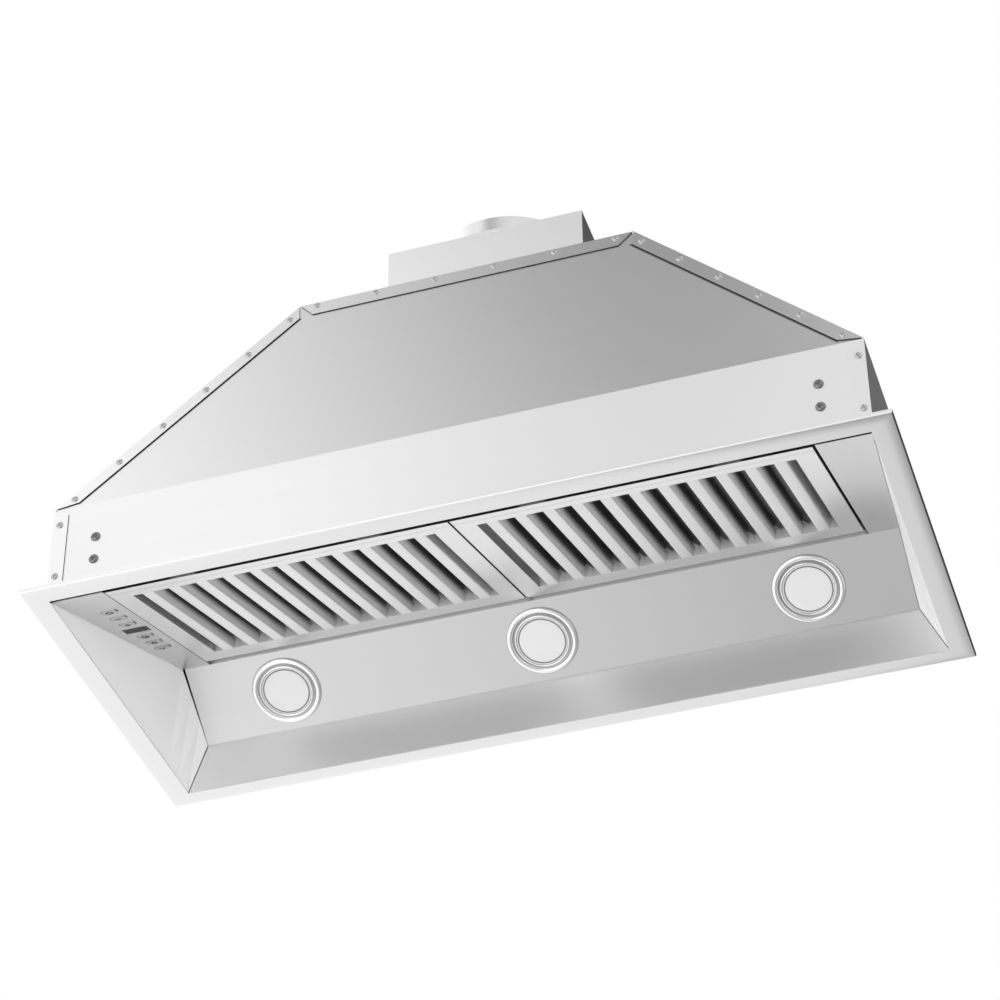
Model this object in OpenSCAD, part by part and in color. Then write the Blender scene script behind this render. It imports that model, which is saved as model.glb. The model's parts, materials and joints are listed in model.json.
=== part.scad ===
// Built-in range hood insert: a folded steel shell over a trim rim, two tilted baffle filters,
// a light panel with three lamps, a key strip, and a double-inlet blower under a duct collar.
// X runs along the width, Z is up, and -Y is the low side of the filters, where the shell leans back.
// The origin is on the floor plane of the rim, at the middle of its outline.

/* [Rim] */
// Outside width of the trim rim
rim_w = 1016; // [960:1:1200]
// Outside depth of the trim rim
rim_d = 468; // [450:1:520]
// Width of the rim's flat from its outer edge to the opening, at the two ends
side_ledge = 28; // [26:0.5:40]
// The same flat along the low side of the filters
near_ledge = 23.6; // [20:0.2:30]
// The same flat along the lamp side
far_ledge = 25; // [22:0.5:34]
// Height of the lip that is folded up around the rim
lip_h = 6.5; // [4:0.5:14]
// Thickness of the rim and shell sheet
sheet = 1.2; // [0.8:0.1:1.5]

/* [Shell] */
// Height of the upright band above the rim's underside
band_h = 132; // [120:1:170]
// Height of the shell's flat top
shell_h = 434; // [415:1:480]
// Width of the flat top
top_w = 425; // [400:1:520]
// How far the front leans back between the band and the top
front_lean = 66; // [40:1:90]
// Width of the end panels' folded flanges
flange_w = 18; // [15:0.5:22]
// Width of the top panel's folded flanges
top_flange_w = 22; // [18:0.5:28]
// Number of screws along each sloping flange
slope_screws = 6; // [4:1:8]
// Number of screws along the top flange
top_screws = 6; // [4:1:8]

/* [Recess] */
// Horizontal depth of the filter plane, from the near edge to the bend
filter_run = 316.7; // [310:0.1:330]
// Height of the bend between the filter plane and the light panel
bend_h = 113; // [106:0.5:120]
// Horizontal depth of the light panel
light_run = 91.4; // [86:0.2:94]
// How far the light panel drops from the bend
light_drop = 54.4; // [46:0.2:60]
// Width of the recess at the bend and at the light panel's low edge
recess_top_w = 905.4; // [896:0.2:920]
// Thickness of the recess panels
liner = 1; // [0.8:0.1:1.2]
// Columns in each twisted end wall up to the bend
wall_columns = 9; // [5:1:14]

/* [Filters] */
// Width of one filter
filter_w = 413; // [405:0.5:414]
// Length of one filter up the slope
filter_l = 321.5; // [314:0.5:322]
// Depth of one filter
filter_t = 22; // [18:0.5:24]
// Thickness of the filter sheet
filter_sheet = 0.8; // [0.6:0.1:1]
// Distance between baffles
baffle_pitch = 33; // [32:0.1:34]
// Width of a baffle's flat
baffle_flat = 14; // [12:0.5:16]
// Number of baffles in the front row of each filter
baffle_count = 11; // [9:1:11]
// Width of the first and last slot
end_slot = 11; // [9:0.5:13]
// How far each baffle leg leans out from its flat
baffle_flare = 3.5; // [2:0.25:5]
// Depth of each row of baffles
baffle_depth = 10.5; // [8:0.25:11.5]
// Solid margin at the low edge of each filter
near_margin = 28; // [24:0.5:34]
// Solid margin at the high edge of each filter
far_margin = 39; // [34:0.5:44]
// Radius of the rounded high edge of each filter
filter_round = 10; // [6:0.5:12]

/* [Lamps] */
// Outside diameter of a lamp's trim ring
lamp_d = 88; // [80:0.5:92]
// Diameter of a lamp's lens
lens_d = 62; // [56:0.5:64]
// Distance between neighbouring lamps
lamp_pitch = 331; // [280:1:350]
// Depth of a lamp's can behind the panel
can_depth = 32; // [24:1:40]

/* [Keys] */
// Width of one key across the strip
key_w = 20; // [16:0.5:24]
// Height of one key along the strip
key_l = 9; // [7:0.5:12]
// Distance between neighbouring keys
key_pitch = 26.8; // [25:0.1:27.5]
// How far a key stands out of the strip
key_proud = 1.4; // [1.2:0.1:2]
// How far a key travels
key_travel = 1; // [0.5:0.1:1]
// Width of the display window
display_w = 26; // [22:0.5:30]
// Height of the display window along the strip
display_l = 14; // [11:0.5:15]

/* [Blower box and duct] */
// Width of the box on top of the shell
box_w = 255; // [240:1:290]
// Depth of that box
box_d = 218; // [212:1:230]
// Height of that box
box_h = 134; // [110:1:160]
// Distance from the shell's front top edge back to the box
box_setback = 78.5; // [66:0.5:90]
// Outside diameter of the duct collar
collar_d = 202; // [190:1:206]
// Height of the duct collar
collar_h = 31; // [26:1:60]
// Thickness of the collar and of the damper flaps
collar_wall = 1; // [0.8:0.1:1.4]
// Diameter of the damper's pin
damper_pin_d = 5; // [4:0.25:6]

/* [Blower] */
// Outside diameter of the blower wheel
wheel_d = 160; // [140:1:164]
// Length of the blower wheel
wheel_l = 124; // [100:1:126]
// Number of blades
blade_count = 36; // [24:1:42]
// Radial depth of the blades
blade_depth = 13; // [10:0.5:15]
// Width between the scroll's side plates
scroll_w = 150; // [142:1:160]
// Largest distance from the wheel's axis to the scroll's wall
scroll_r = 120; // [112:1:124]
// Height of the shell's flat top above the wheel's axis
wheel_h = 104; // [96:1:108]
// Diameter of the motor
motor_d = 80; // [70:1:88]

/* [Hidden] */
$fn = 64;

// Clearance between parts that only sit together
slack = 0.3;
// Radial clearance of a pin in its bore
run_gap = 0.05;
// Overrun of a cut past the face it opens
over = 1;
// Longest reach of a cutting or keeping block in any direction
reach = 2 * rim_w;

// Places of the opening and the shell, seen from above
open_x = rim_w / 2 - side_ledge;
open_near = -rim_d / 2 + near_ledge;
open_far = rim_d / 2 - far_ledge;
// Distance from the opening's edge to the inside of the shell's wall, at the ends, front and back
end_setback = 1.8;
front_setback = 0.4;
back_setback = 8.3;
shell_w = 2 * (open_x + end_setback + sheet);
front_y = open_near - front_setback - sheet;
back_y = open_far + back_setback + sheet;
mid_y = (front_y + front_lean + back_y) / 2;

// Angles of the shell's folds
lean_angle = atan2(front_lean, shell_h - band_h);
slope_run = (shell_w - top_w) / 2;
slope_rise = shell_h - band_h;
slope_angle = atan2(slope_rise, slope_run);
slope_length = norm([slope_run, slope_rise]);
low_fold = 90 - slope_angle;
high_fold = slope_angle;

// Details of the shell's flanges
flange_relief = 3;
flange_top_gap = 10;
notch_in = 18.5;
notch_gap = 1.2;
slope_flange_start = 24;
slope_flange_end = 17;
screw_inset = 8;
screw_end = 25;
screw_head_r = 4.4;
screw_head_h = 2.2;
screw_hole_r = 2;
screw_round_share = 0.6;
screw_sides = 24;
top_screw_inset = 6.5;
top_screw_end = 22.5;
top_screw_pitch = (top_w - 2 * top_screw_end) / (top_screws - 1);
low_screw_z = 33;
high_screw_z = 108;
wall_hole_r = 3.5;
wall_hole_x = 300;
wall_hole_z = 40;
wall_hole_mid_z = 80;

// Screws on the upright band that hold the recess brackets
band_screw_mid_z = 64.3;
band_screw_rise = 32.4;
band_head_r = 6;
band_head_h = 3.2;
band_hole_r = 2.6;

// The recess: filter plane, bend and light panel
filter_tilt = atan2(bend_h, filter_run);
plane_l = norm([filter_run, bend_h]);
bend_y = open_near + filter_run;
light_tilt = atan2(light_drop, light_run);
light_l = norm([light_run, light_drop]);
light_low_y = bend_y + light_run;
light_low_z = bend_h - light_drop;
recess_x = recess_top_w / 2;
wall_start = 6.4;
foot_in = 0.6;
wall_foot_x = open_x + foot_in;
wedge_gap = 3;

// Places of the two filters along the filter plane
filter_near = 9;
mid_gap = 2.4;
left_gap = 0.8;
right_gap = 3.4;
bay_x = filter_w + (mid_gap + left_gap + right_gap) / 2;
left_filter_x = -bay_x + left_gap;
right_filter_x = left_filter_x + filter_w + mid_gap;
baffle_run = 2 * end_slot + baffle_count * baffle_pitch - (baffle_pitch - baffle_flat);
side_margin = (filter_w - baffle_run) / 2;
baffle_far = filter_l - far_margin;
baffle_l = baffle_far - near_margin;
slot_w = baffle_pitch - baffle_flat;
tab_low = 11;
tab_high = filter_t - 2.5 * filter_sheet;
tab_seam = 0.35;
tab_share = 0.5;

// Hinge of the filters: tongues that hook over the ledge behind the bend
tongue_l = 6.2;
tongue_w = 40;
tongue_t = 1.2;
tongue_n = 13.9;
tongue_in = 70;
ledge_l = 3;
ledge_n = tongue_n - slack;

// Wings of the recess beside the filters
wing_near = 6;
wing_upstand = 16;
bracket_h = 95;
bracket_far_h = 20;
bracket_foot = 24;
bracket_screw_in = 10.7;
band_screw_x = bay_x + liner + bracket_screw_in;
bracket_low_z = 34;
bracket_high_z = 92;

// Leaf catches that press on the low edge of the filters
catch_w = 30;
catch_t = 0.5;
catch_l = 30;
catch_in = 95;
catch_low = 3;

// Lamps
lamp_bead = 5.4;
lamp_proud = 3;
groove_proud = 1;
lens_proud = 2.2;
lens_t = 3;
can_r = 34;
can_wall = 1.5;
fin_count = 7;
fin_t = 1.6;
fin_h = 8;
lamp_s = light_l / 2;
lamp_hole_r = can_r + slack;

// Key strip
strip_s = 155.5;
strip_out = 21.5;
strip_x = -bay_x - strip_out;
key_slots = [-3, -2, -1, 1, 2, 3];
key_gap = 0.35;
key_skirt = 1.2;
key_skirt_t = 1;
key_stem_r = 2;
board_n = 9;
board_t = 1.6;
switch_w = 6;
switch_h = 1.2;
stem_gap = 0.4;
housing_w = 36;
housing_l = 190;
housing_depth = 20;
housing_wall = 1.5;
window_t = 1.2;
window_lip = 1.5;
cable_slot_w = 12;
cable_slot_h = 5;

// Lamp driver on the inside of the back panel
driver_w = 120;
driver_h = 44;
driver_d = 28;
driver_x = -240;
driver_z = 170;
driver_foot = 14;
driver_foot_t = 2;
driver_hole_r = 2.2;

// Blower box, collar and damper
box_front = front_y + front_lean + box_setback;
box_y = box_front + box_d / 2;
box_flange = 14;
box_screw_inset = 7;
box_top = shell_h + box_h;
collar_r = collar_d / 2;
collar_flange = 11;
box_hole_in = 2;
box_hole_r = collar_r - collar_wall - box_hole_in;
damper_rise = 9;
damper_z = box_top + damper_rise;
pin_r = damper_pin_d / 2;
barrel_wall = 1.6;
barrel_r = pin_r + run_gap + barrel_wall;
flap_gap = 1.5;
flap_r = collar_r - collar_wall - flap_gap;
flap_root = 5.5;
stop_w = 6;
stop_t = 1.2;
knuckle_l = 32;
knuckle_gap = 1;
knuckle_step = knuckle_l + knuckle_gap;
front_knuckles = [-3 / 2 * knuckle_step, knuckle_step / 2];
rear_knuckles = [-knuckle_step / 2, 3 / 2 * knuckle_step];

// Blower scroll and wheel
wheel_setback = 64;
wheel_y = mid_y + wheel_setback;
axis_z = shell_h - wheel_h;
scroll_r0 = 88;
scroll_from = 80;
scroll_sweep = 260;
scroll_steps = 26;
scroll_end = scroll_from - scroll_sweep;
outlet_back = scroll_r0 * cos(scroll_from);
scroll_sheet = 1;
inlet_r = 64;
inlet_lip = 5;
hang_w = 15;
hang_l = 90;
opening_slack = 3;
wheel_r = wheel_d / 2;
end_ring_t = 2;
disc_t = 1.6;
disc_x = 5;
hub_r = 11;
hub_l = 18;
shaft_r = 5;
shaft_in = 30;
blade_t = 0.8;
blade_r = 14;
motor_l = 72;
motor_out = 6;
motor_x = -scroll_w / 2 - motor_out;
motor_boss_r = 16;
motor_boss_l = 5;
arm_w = 14;
arm_t = 2;
bracket_ring = 7;
bracket_out = 84;

// Junction box on the top panel
junction_x = 145;
junction_y = 10;
junction_w = 60;
junction_l = 90;
junction_h = 42;
junction_wall = 1.2;
knockout_r = 11;

// Point on the front's outer face, moved outwards by out, at height z
function front_at(z, out) = z <= band_h
    ? front_y - out
    : front_y + (z - band_h) * tan(lean_angle) - out / cos(lean_angle);

// Outline of the shell seen from the front, drawn in by inset, from its foot at height low
function shell_outline(inset, low) = [
    [-shell_w / 2 + inset, low],
    [-shell_w / 2 + inset, band_h - inset * tan(low_fold / 2)],
    [-top_w / 2 + inset * tan(high_fold / 2), shell_h - inset],
    [top_w / 2 - inset * tan(high_fold / 2), shell_h - inset],
    [shell_w / 2 - inset, band_h - inset * tan(low_fold / 2)],
    [shell_w / 2 - inset, low]];

// Point along the left slope: a distance up from the low fold and a distance in from the edge
function slope_point(along, inset) = [
    -shell_w / 2 + along * cos(slope_angle) + inset * sin(slope_angle),
    band_h + along * sin(slope_angle) - inset * cos(slope_angle)];

// Places of the left end panel's seam screws, then of the top panel's, seen from the front
end_seams = concat(
    [[-shell_w / 2 + screw_inset, low_screw_z], [-shell_w / 2 + screw_inset, high_screw_z]],
    [for (i = [0 : slope_screws - 1])
        slope_point(screw_end + i * (slope_length - 2 * screw_end) / (slope_screws - 1), screw_inset)]);
top_seams = [for (i = [0 : top_screws - 1])
    [(i - (top_screws - 1) / 2) * top_screw_pitch, shell_h - top_screw_inset]];
seams = concat(end_seams, [for (p = end_seams) [-p[0], p[1]]], top_seams);

// Puts a part on the outer face of the front flanges at each seam screw, its Z pointing out
module at_front_seams() {
    for (p = seams)
        translate([p[0], front_at(p[1], sheet), p[1]])
            rotate([p[1] > band_h ? 90 - lean_angle : 90, 0, 0]) children();
}

// The same on the back flanges
module at_back_seams() {
    for (p = seams)
        translate([p[0], back_y + sheet, p[1]])
            rotate([-90, 0, 0]) children();
}

// Hole for a seam screw through a flange and the panel behind it
module seam_hole() {
    cylinder(r = screw_hole_r, h = 8 * sheet, center = true);
}

// A solid whose YZ section is the child, from x0 to x1
module along_x(x0, x1) {
    translate([x0, 0, 0])
        rotate([90, 0, 90])
            linear_extrude(x1 - x0) children();
}

// A solid whose XZ section is the child, from y0 to y1
module along_y(y0, y1) {
    translate([0, y1, 0])
        rotate([90, 0, 0])
            linear_extrude(y1 - y0) children();
}

// Local frame of the filter plane: Y runs up the slope and Z points into the hood
module on_filter_plane() {
    translate([0, open_near, 0])
        rotate([filter_tilt, 0, 0]) children();
}

// Local frame of the light panel: Y runs down from the bend and Z points into the hood
module on_light_panel() {
    translate([0, bend_y, bend_h])
        rotate([-light_tilt, 0, 0]) children();
}

// Section of a layer on the front, between two distances out from its face
module front_layer(inner, outer, low, high) {
    fold = tan(lean_angle / 2);
    polygon([
        [front_y - outer, low],
        [front_y - outer, band_h + outer * fold],
        [front_at(high, outer), high],
        [front_at(high, inner), high],
        [front_y - inner, band_h + inner * fold],
        [front_y - inner, low]]);
}

// Everything between the flanges' outer faces, seen from the end
module shell_side_section() {
    fold = tan(lean_angle / 2);
    polygon([
        [front_y - sheet, sheet],
        [front_y - sheet, band_h + sheet * fold],
        [front_at(shell_h, sheet), shell_h],
        [back_y + sheet, shell_h],
        [back_y + sheet, sheet]]);
}

// Trim rim: a flat frame with its outer edge folded up
module trim_flange() {
    color("gainsboro")
    difference() {
        translate([-rim_w / 2, -rim_d / 2, 0])
            cube([rim_w, rim_d, lip_h]);
        translate([-rim_w / 2 + sheet, -rim_d / 2 + sheet, sheet])
            cube([rim_w - 2 * sheet, rim_d - 2 * sheet, lip_h]);
        translate([-open_x, open_near, -over])
            cube([2 * open_x, open_far - open_near, lip_h + 2 * over]);
    }
}

// Front panel: an upright band that bends into the leaning trapezoid
module front_panel() {
    color("silver")
    difference() {
        intersection() {
            along_x(-shell_w / 2, shell_w / 2)
                front_layer(-sheet, 0, sheet, shell_h - sheet);
            along_y(front_y - reach, back_y)
                polygon(shell_outline(sheet, sheet));
        }
        for (side = [-1, 1], step = [-1, 1])
            translate([side * band_screw_x, front_y, band_screw_mid_z + step * band_screw_rise / 2])
                rotate([90, 0, 0])
                    cylinder(r = band_hole_r, h = 4 * sheet, center = true);
        at_front_seams() seam_hole();
    }
}

// Back panel: a flat sheet with four holes for fixing the hood to the wall
module back_panel() {
    color("silver")
    difference() {
        along_y(back_y - sheet, back_y)
            polygon(shell_outline(sheet, sheet));
        for (side = [-1, 1], step = [-1, 1])
            translate([side * wall_hole_x, back_y, wall_hole_mid_z + step * wall_hole_z])
                rotate([90, 0, 0])
                    cylinder(r = wall_hole_r, h = 4 * sheet, center = true);
        at_back_seams() seam_hole();
    }
}

// Flange strips of the left end panel: the upright one and the sloping one
module end_flange_outline() {
    upright_top = band_h - flange_top_gap;
    polygon([
        [-shell_w / 2, sheet + flange_relief],
        [-shell_w / 2, band_h - flange_relief / 2],
        [-shell_w / 2 + flange_w, upright_top],
        [-shell_w / 2 + flange_w, sheet + flange_relief]]);
    polygon([
        slope_point(notch_gap, 0),
        slope_point(slope_length - notch_gap, 0),
        slope_point(slope_length - slope_flange_end, flange_w),
        slope_point(slope_flange_start, flange_w)]);
}

// Left end panel: an upright wall, a slope, and flanges folded over the front and the back
module end_panel() {
    wall = shell_outline(0, sheet);
    inside = shell_outline(sheet, sheet);
    difference() {
        union() {
            intersection() {
                along_y(front_y - reach, back_y + reach)
                    polygon([wall[0], wall[1], wall[2], inside[2], inside[1], inside[0]]);
                along_x(-reach, reach) shell_side_section();
            }
            intersection() {
                along_x(-reach, reach) front_layer(0, sheet, sheet, shell_h);
                along_y(front_y - reach, back_y) end_flange_outline();
            }
            along_y(back_y, back_y + sheet) end_flange_outline();
        }
        at_front_seams() seam_hole();
        at_back_seams() seam_hole();
    }
}

module left_side_panel() {
    color("lightgray") end_panel();
}

module right_side_panel() {
    color("lightgray") mirror([1, 0, 0]) end_panel();
}

// Top panel: a flat sheet with front and back flanges, side tabs under the slopes and the blower's opening
module top_panel() {
    wall = shell_outline(0, sheet);
    inside = shell_outline(sheet, sheet);
    under = shell_outline(2 * sheet, sheet);
    tab = [cos(slope_angle), sin(slope_angle)] * flange_w;
    flange = [
        [-top_w / 2 + notch_gap, shell_h],
        [top_w / 2 - notch_gap, shell_h],
        [top_w / 2 - notch_in, shell_h - top_flange_w],
        [-top_w / 2 + notch_in, shell_h - top_flange_w]];
    color("lightgray")
    difference() {
        union() {
            intersection() {
                along_y(front_y - reach, back_y + reach)
                    polygon([wall[2], wall[3], inside[3], inside[2]]);
                along_x(-reach, reach) shell_side_section();
            }
            for (side = [0, 1])
                mirror([side, 0, 0])
                    along_y(front_at(shell_h - sheet, -sheet) + slack, back_y - sheet - slack)
                        polygon([inside[2], inside[2] - tab, under[2] - tab, under[2],
                            under[2] + [sheet, sheet]]);
            intersection() {
                along_x(-reach, reach) front_layer(0, sheet, sheet, shell_h);
                along_y(front_y - reach, back_y) polygon(flange);
            }
            along_y(back_y, back_y + sheet) polygon(flange);
        }
        translate([-scroll_w / 2 - opening_slack, wheel_y - scroll_r - opening_slack, shell_h - 2 * sheet])
            cube([scroll_w + 2 * opening_slack,
                scroll_r + outlet_back + 2 * opening_slack, 4 * sheet]);
        at_front_seams() seam_hole();
        at_back_seams() seam_hole();
    }
}

// Half width of the recess at a distance up the filter plane
function recess_half(s) = wall_foot_x + (recess_x - wall_foot_x) * min(s / plane_l, 1);

// Height of the recess's top edge over a place in y
function recess_z(y) = y <= bend_y
    ? (y - open_near) * tan(filter_tilt)
    : bend_h - (y - bend_y) * tan(light_tilt);

// Right end wall of the recess: a sheet ruled between the rim and the edge of the tilted panels
module liner_end_wall() {
    near = open_near + wall_start;
    fold_share = (bend_y - near) / (light_low_y - near);
    extra = ceil(wall_columns * (1 - fold_share) / fold_share);
    shares = concat(
        [for (i = [0 : wall_columns]) fold_share * i / wall_columns],
        [for (i = [1 : extra]) fold_share + (1 - fold_share) * i / extra]);
    count = len(shares);
    low = [for (t = shares) [wall_foot_x, near + (open_far - slack - near) * t, sheet]];
    high = [for (t = shares)
        let (y = near + (light_low_y - near) * t)
        [recess_half((y - open_near) / cos(filter_tilt)), y, recess_z(y) + liner]];
    points = concat(low, high, [for (p = low) p + [liner, 0, 0]], [for (p = high) p + [liner, 0, 0]]);
    faces = concat(
        [for (i = [0 : count - 2]) each [
            [i, i + 1, count + i],
            [i + 1, count + i + 1, count + i],
            [2 * count + i, 3 * count + i, 2 * count + i + 1],
            [2 * count + i + 1, 3 * count + i, 3 * count + i + 1],
            [i, 2 * count + i, i + 1],
            [i + 1, 2 * count + i, 2 * count + i + 1],
            [count + i, count + i + 1, 3 * count + i],
            [count + i + 1, 3 * count + i + 1, 3 * count + i]]],
        [[0, count, 2 * count], [2 * count, count, 3 * count],
            [count - 1, 3 * count - 1, 2 * count - 1],
            [2 * count - 1, 3 * count - 1, 4 * count - 1]]);
    polyhedron(points, faces);
}

module left_liner_wall() {
    color("lightgray") mirror([1, 0, 0]) liner_end_wall();
}

module right_liner_wall() {
    color("lightgray") liner_end_wall();
}

// Rear wall of the recess, from the rim up to the light panel's low edge
module rear_liner_wall() {
    foot = wall_foot_x - slack;
    head = recess_x - slack;
    rise = light_low_z + liner;
    head_y = light_low_y + liner * sin(light_tilt) + slack;
    color("lightgray")
    intersection() {
        along_x(-reach, reach)
            polygon([
                [open_far + slack, sheet],
                [head_y, rise],
                [head_y + liner, rise],
                [open_far + slack + liner, sheet]]);
        along_y(light_low_y - reach, back_y)
            polygon([[-foot, sheet], [foot, sheet], [head, rise], [-head, rise]]);
    }
}

// Light panel: a sloping sheet with three lamp holes, a tapered gap at its left end, and the ledge that the
// filters hook over
module light_panel() {
    color("silver")
    union() {
        on_light_panel()
            difference() {
                linear_extrude(liner)
                    polygon([
                        [-recess_x + wedge_gap, 0],
                        [recess_x - slack, 0],
                        [recess_x - slack, light_l],
                        [-recess_x + slack, light_l]]);
                for (i = [-1, 0, 1])
                    translate([i * lamp_pitch, lamp_s, -over])
                        cylinder(r = lamp_hole_r, h = liner + 2 * over);
            }
        on_filter_plane() {
            translate([-bay_x, plane_l, 0])
                cube([2 * bay_x, liner, ledge_n]);
            translate([-bay_x, plane_l - ledge_l, ledge_n - liner])
                cube([2 * bay_x, ledge_l + liner, liner]);
        }
    }
}

// Sheet of the right wing: its outer edge follows the end wall
module wing_sheet() {
    linear_extrude(liner)
        polygon([
            [bay_x, wing_near],
            [recess_half(wing_near) - slack, wing_near],
            [recess_half(plane_l) - slack, plane_l - slack],
            [bay_x, plane_l - slack]]);
    translate([bay_x, wing_near + wing_upstand, 0])
        cube([liner, plane_l - slack - wing_near - wing_upstand, wing_upstand]);
}

// Right wing, plain
module blank_panel() {
    color("silver")
        on_filter_plane() wing_sheet();
}

// Left wing, with holes for the keys and the display
module control_panel() {
    color("silver")
        on_filter_plane()
            difference() {
                mirror([1, 0, 0]) wing_sheet();
                for (slot = key_slots)
                    translate([strip_x, strip_s + slot * key_pitch, 0])
                        rounded_block(key_w + 2 * key_gap, key_l + 2 * key_gap, -over, liner + over);
                translate([strip_x, strip_s, 0])
                    rounded_block(display_w + 2 * key_gap, display_l + 2 * key_gap, -over, liner + over);
            }
}

// A block with round corners, centred, from height low to height high
module rounded_block(w, l, low, high) {
    r = min(w, l) / 4;
    translate([0, 0, low])
        linear_extrude(high - low) {
            square([w - 2 * r, l], center = true);
            square([w, l - 2 * r], center = true);
            for (sx = [-1, 1], sy = [-1, 1])
                translate([sx * (w / 2 - r), sy * (l / 2 - r)])
                    circle(r = r);
        }
}

// Right bracket: a cheek beside the filters, screwed to the band and standing on the wing
module bracket_cheek() {
    x = bay_x + liner;
    front_in = front_y + sheet;
    on_filter_plane()
        intersection() {
            along_x(x, x + sheet)
                polygon([
                    [wing_near, liner],
                    [plane_l - slack, liner],
                    [plane_l - slack, bracket_far_h],
                    [0, bracket_h]]);
            rotate([-filter_tilt, 0, 0])
                translate([0, front_in - open_near, 0])
                    cube([reach, reach, reach]);
        }
    translate([x, front_in, bracket_low_z])
        difference() {
            cube([bracket_foot, sheet, bracket_high_z - bracket_low_z]);
            for (step = [-1, 1])
                translate([band_screw_x - x, 0, band_screw_mid_z - bracket_low_z + step * band_screw_rise / 2])
                    rotate([90, 0, 0])
                        cylinder(r = band_hole_r, h = 4 * sheet, center = true);
        }
}

module left_bracket() {
    color("gray") mirror([1, 0, 0]) bracket_cheek();
}

module right_bracket() {
    color("gray") bracket_cheek();
}

// Four leaf catches on the inside of the band, arched towards the filters' low edge
module filter_catches() {
    front_in = front_y + sheet;
    low_edge = open_near + filter_near * cos(filter_tilt);
    rise = low_edge - slack - front_in;
    arch_r = (pow(catch_l / 2, 2) + rise * rise) / (2 * rise);
    mid_z = sheet + catch_low + catch_l / 2;
    color("dimgray")
    for (x = [left_filter_x, right_filter_x], end = [catch_in, filter_w - catch_in])
        intersection() {
            translate([x + end - catch_w / 2, front_in + rise - arch_r, mid_z])
                rotate([0, 90, 0])
                    difference() {
                        cylinder(r = arch_r, h = catch_w);
                        translate([0, 0, -over])
                            cylinder(r = arch_r - catch_t, h = catch_w + 2 * over);
                    }
            translate([x, front_in, sheet + catch_low])
                cube([filter_w, rise, catch_l]);
        }
}

// Section of a filter drawn in by an inset, up to a height: upright low edge, rounded high edge
module filter_section(inset, top) {
    r = filter_round - inset;
    lean = tan(filter_tilt);
    polygon(concat(
        [[inset / cos(filter_tilt) + inset * lean, inset]],
        [for (a = [-90 : 9 : 0])
            [filter_l - filter_round + r * cos(a), filter_round + r * sin(a)]],
        [[filter_l - inset, top], [top * lean + inset / cos(filter_tilt), top]]));
}

// One filter's frame: a border channel, open at the back, with tongues on its high edge
module filter_frame() {
    difference() {
        along_x(0, filter_w) filter_section(0, filter_t);
        difference() {
            along_x(filter_sheet, filter_w - filter_sheet)
                filter_section(filter_sheet, filter_t + over);
            translate([side_margin - filter_sheet, near_margin - filter_sheet, -over])
                cube([baffle_run + 2 * filter_sheet, baffle_l + 2 * filter_sheet, filter_t + 2 * over]);
        }
        translate([side_margin, near_margin, -over])
            cube([baffle_run, baffle_l, filter_t + 3 * over]);
    }
    for (x = [tongue_in, filter_w - tongue_in])
        translate([x - tongue_w / 2, filter_l - filter_sheet, tongue_n])
            cube([tongue_w, tongue_l + filter_sheet, tongue_t]);
}

// Section of one baffle, with its flat on the floor and its legs leaning out
module baffle_section() {
    half = baffle_flat / 2;
    wide = half + baffle_flare;
    shift = filter_sheet / cos(atan2(baffle_flare, baffle_depth));
    polygon([
        [-half, 0],
        [half, 0],
        [wide, baffle_depth],
        [wide - shift, baffle_depth],
        [half - filter_sheet, filter_sheet],
        [-half + filter_sheet, filter_sheet],
        [-wide + shift, baffle_depth],
        [-wide, baffle_depth]]);
}

// Tab that closes half of a slot at the high end of the baffles
module slot_tab(w) {
    translate([0, baffle_l, 0])
        rotate([90, 0, 0])
            linear_extrude(filter_sheet)
                polygon([[0, 0], [w, 0], [w, tab_low], [0, tab_high]]);
}

// Front row of baffles: channels with their flats in the filter's face and tabs at their high ends
module front_baffles() {
    first = side_margin + end_slot + baffle_flat / 2;
    half = baffle_flat / 2;
    translate([first, near_margin, 0])
        for (i = [0 : baffle_count - 1])
            translate([i * baffle_pitch, 0, 0]) {
                translate([0, baffle_l, 0])
                    rotate([90, 0, 0])
                        linear_extrude(baffle_l) baffle_section();
                for (side = [0, 1])
                    mirror([side, 0, 0])
                        translate([half - filter_sheet, 0, 0])
                            slot_tab(slot_w * tab_share - tab_seam / 2 + filter_sheet);
            }
}

// Rear row of baffles: channels over the slots, with their legs cut back behind the tabs of the front row
module rear_baffles() {
    first = side_margin + end_slot - slot_w / 2;
    translate([first, near_margin, filter_t])
        for (i = [0 : baffle_count])
            translate([i * baffle_pitch, 0, 0])
                difference() {
                    intersection() {
                        translate([0, baffle_l, 0])
                            rotate([90, 0, 0])
                                linear_extrude(baffle_l) mirror([0, 1, 0]) baffle_section();
                        translate([-first + side_margin - i * baffle_pitch, 0, -filter_t])
                            cube([baffle_run, baffle_l, filter_t]);
                    }
                    translate([-slot_w, baffle_l - filter_sheet - slack, -filter_t - over])
                        cube([2 * slot_w, filter_sheet + slack + over, tab_high + slack + over]);
                }
}

// Puts a filter part at its place in the recess
module in_bay(x) {
    on_filter_plane()
        translate([x, filter_near, 0]) children();
}

module left_filter_frame() {
    color("silver") in_bay(left_filter_x) filter_frame();
}

module left_filter_front_baffles() {
    color("whitesmoke") in_bay(left_filter_x) front_baffles();
}

module left_filter_rear_baffles() {
    color("gray") in_bay(left_filter_x) rear_baffles();
}

module right_filter_frame() {
    color("silver") in_bay(right_filter_x) filter_frame();
}

module right_filter_front_baffles() {
    color("whitesmoke") in_bay(right_filter_x) front_baffles();
}

module right_filter_rear_baffles() {
    color("gray") in_bay(right_filter_x) rear_baffles();
}

// Puts a lamp part at the left (-1), middle (0) or right (1) hole of the light panel
module at_lamp(place) {
    on_light_panel()
        translate([place * lamp_pitch, lamp_s, 0]) children();
}

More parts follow.
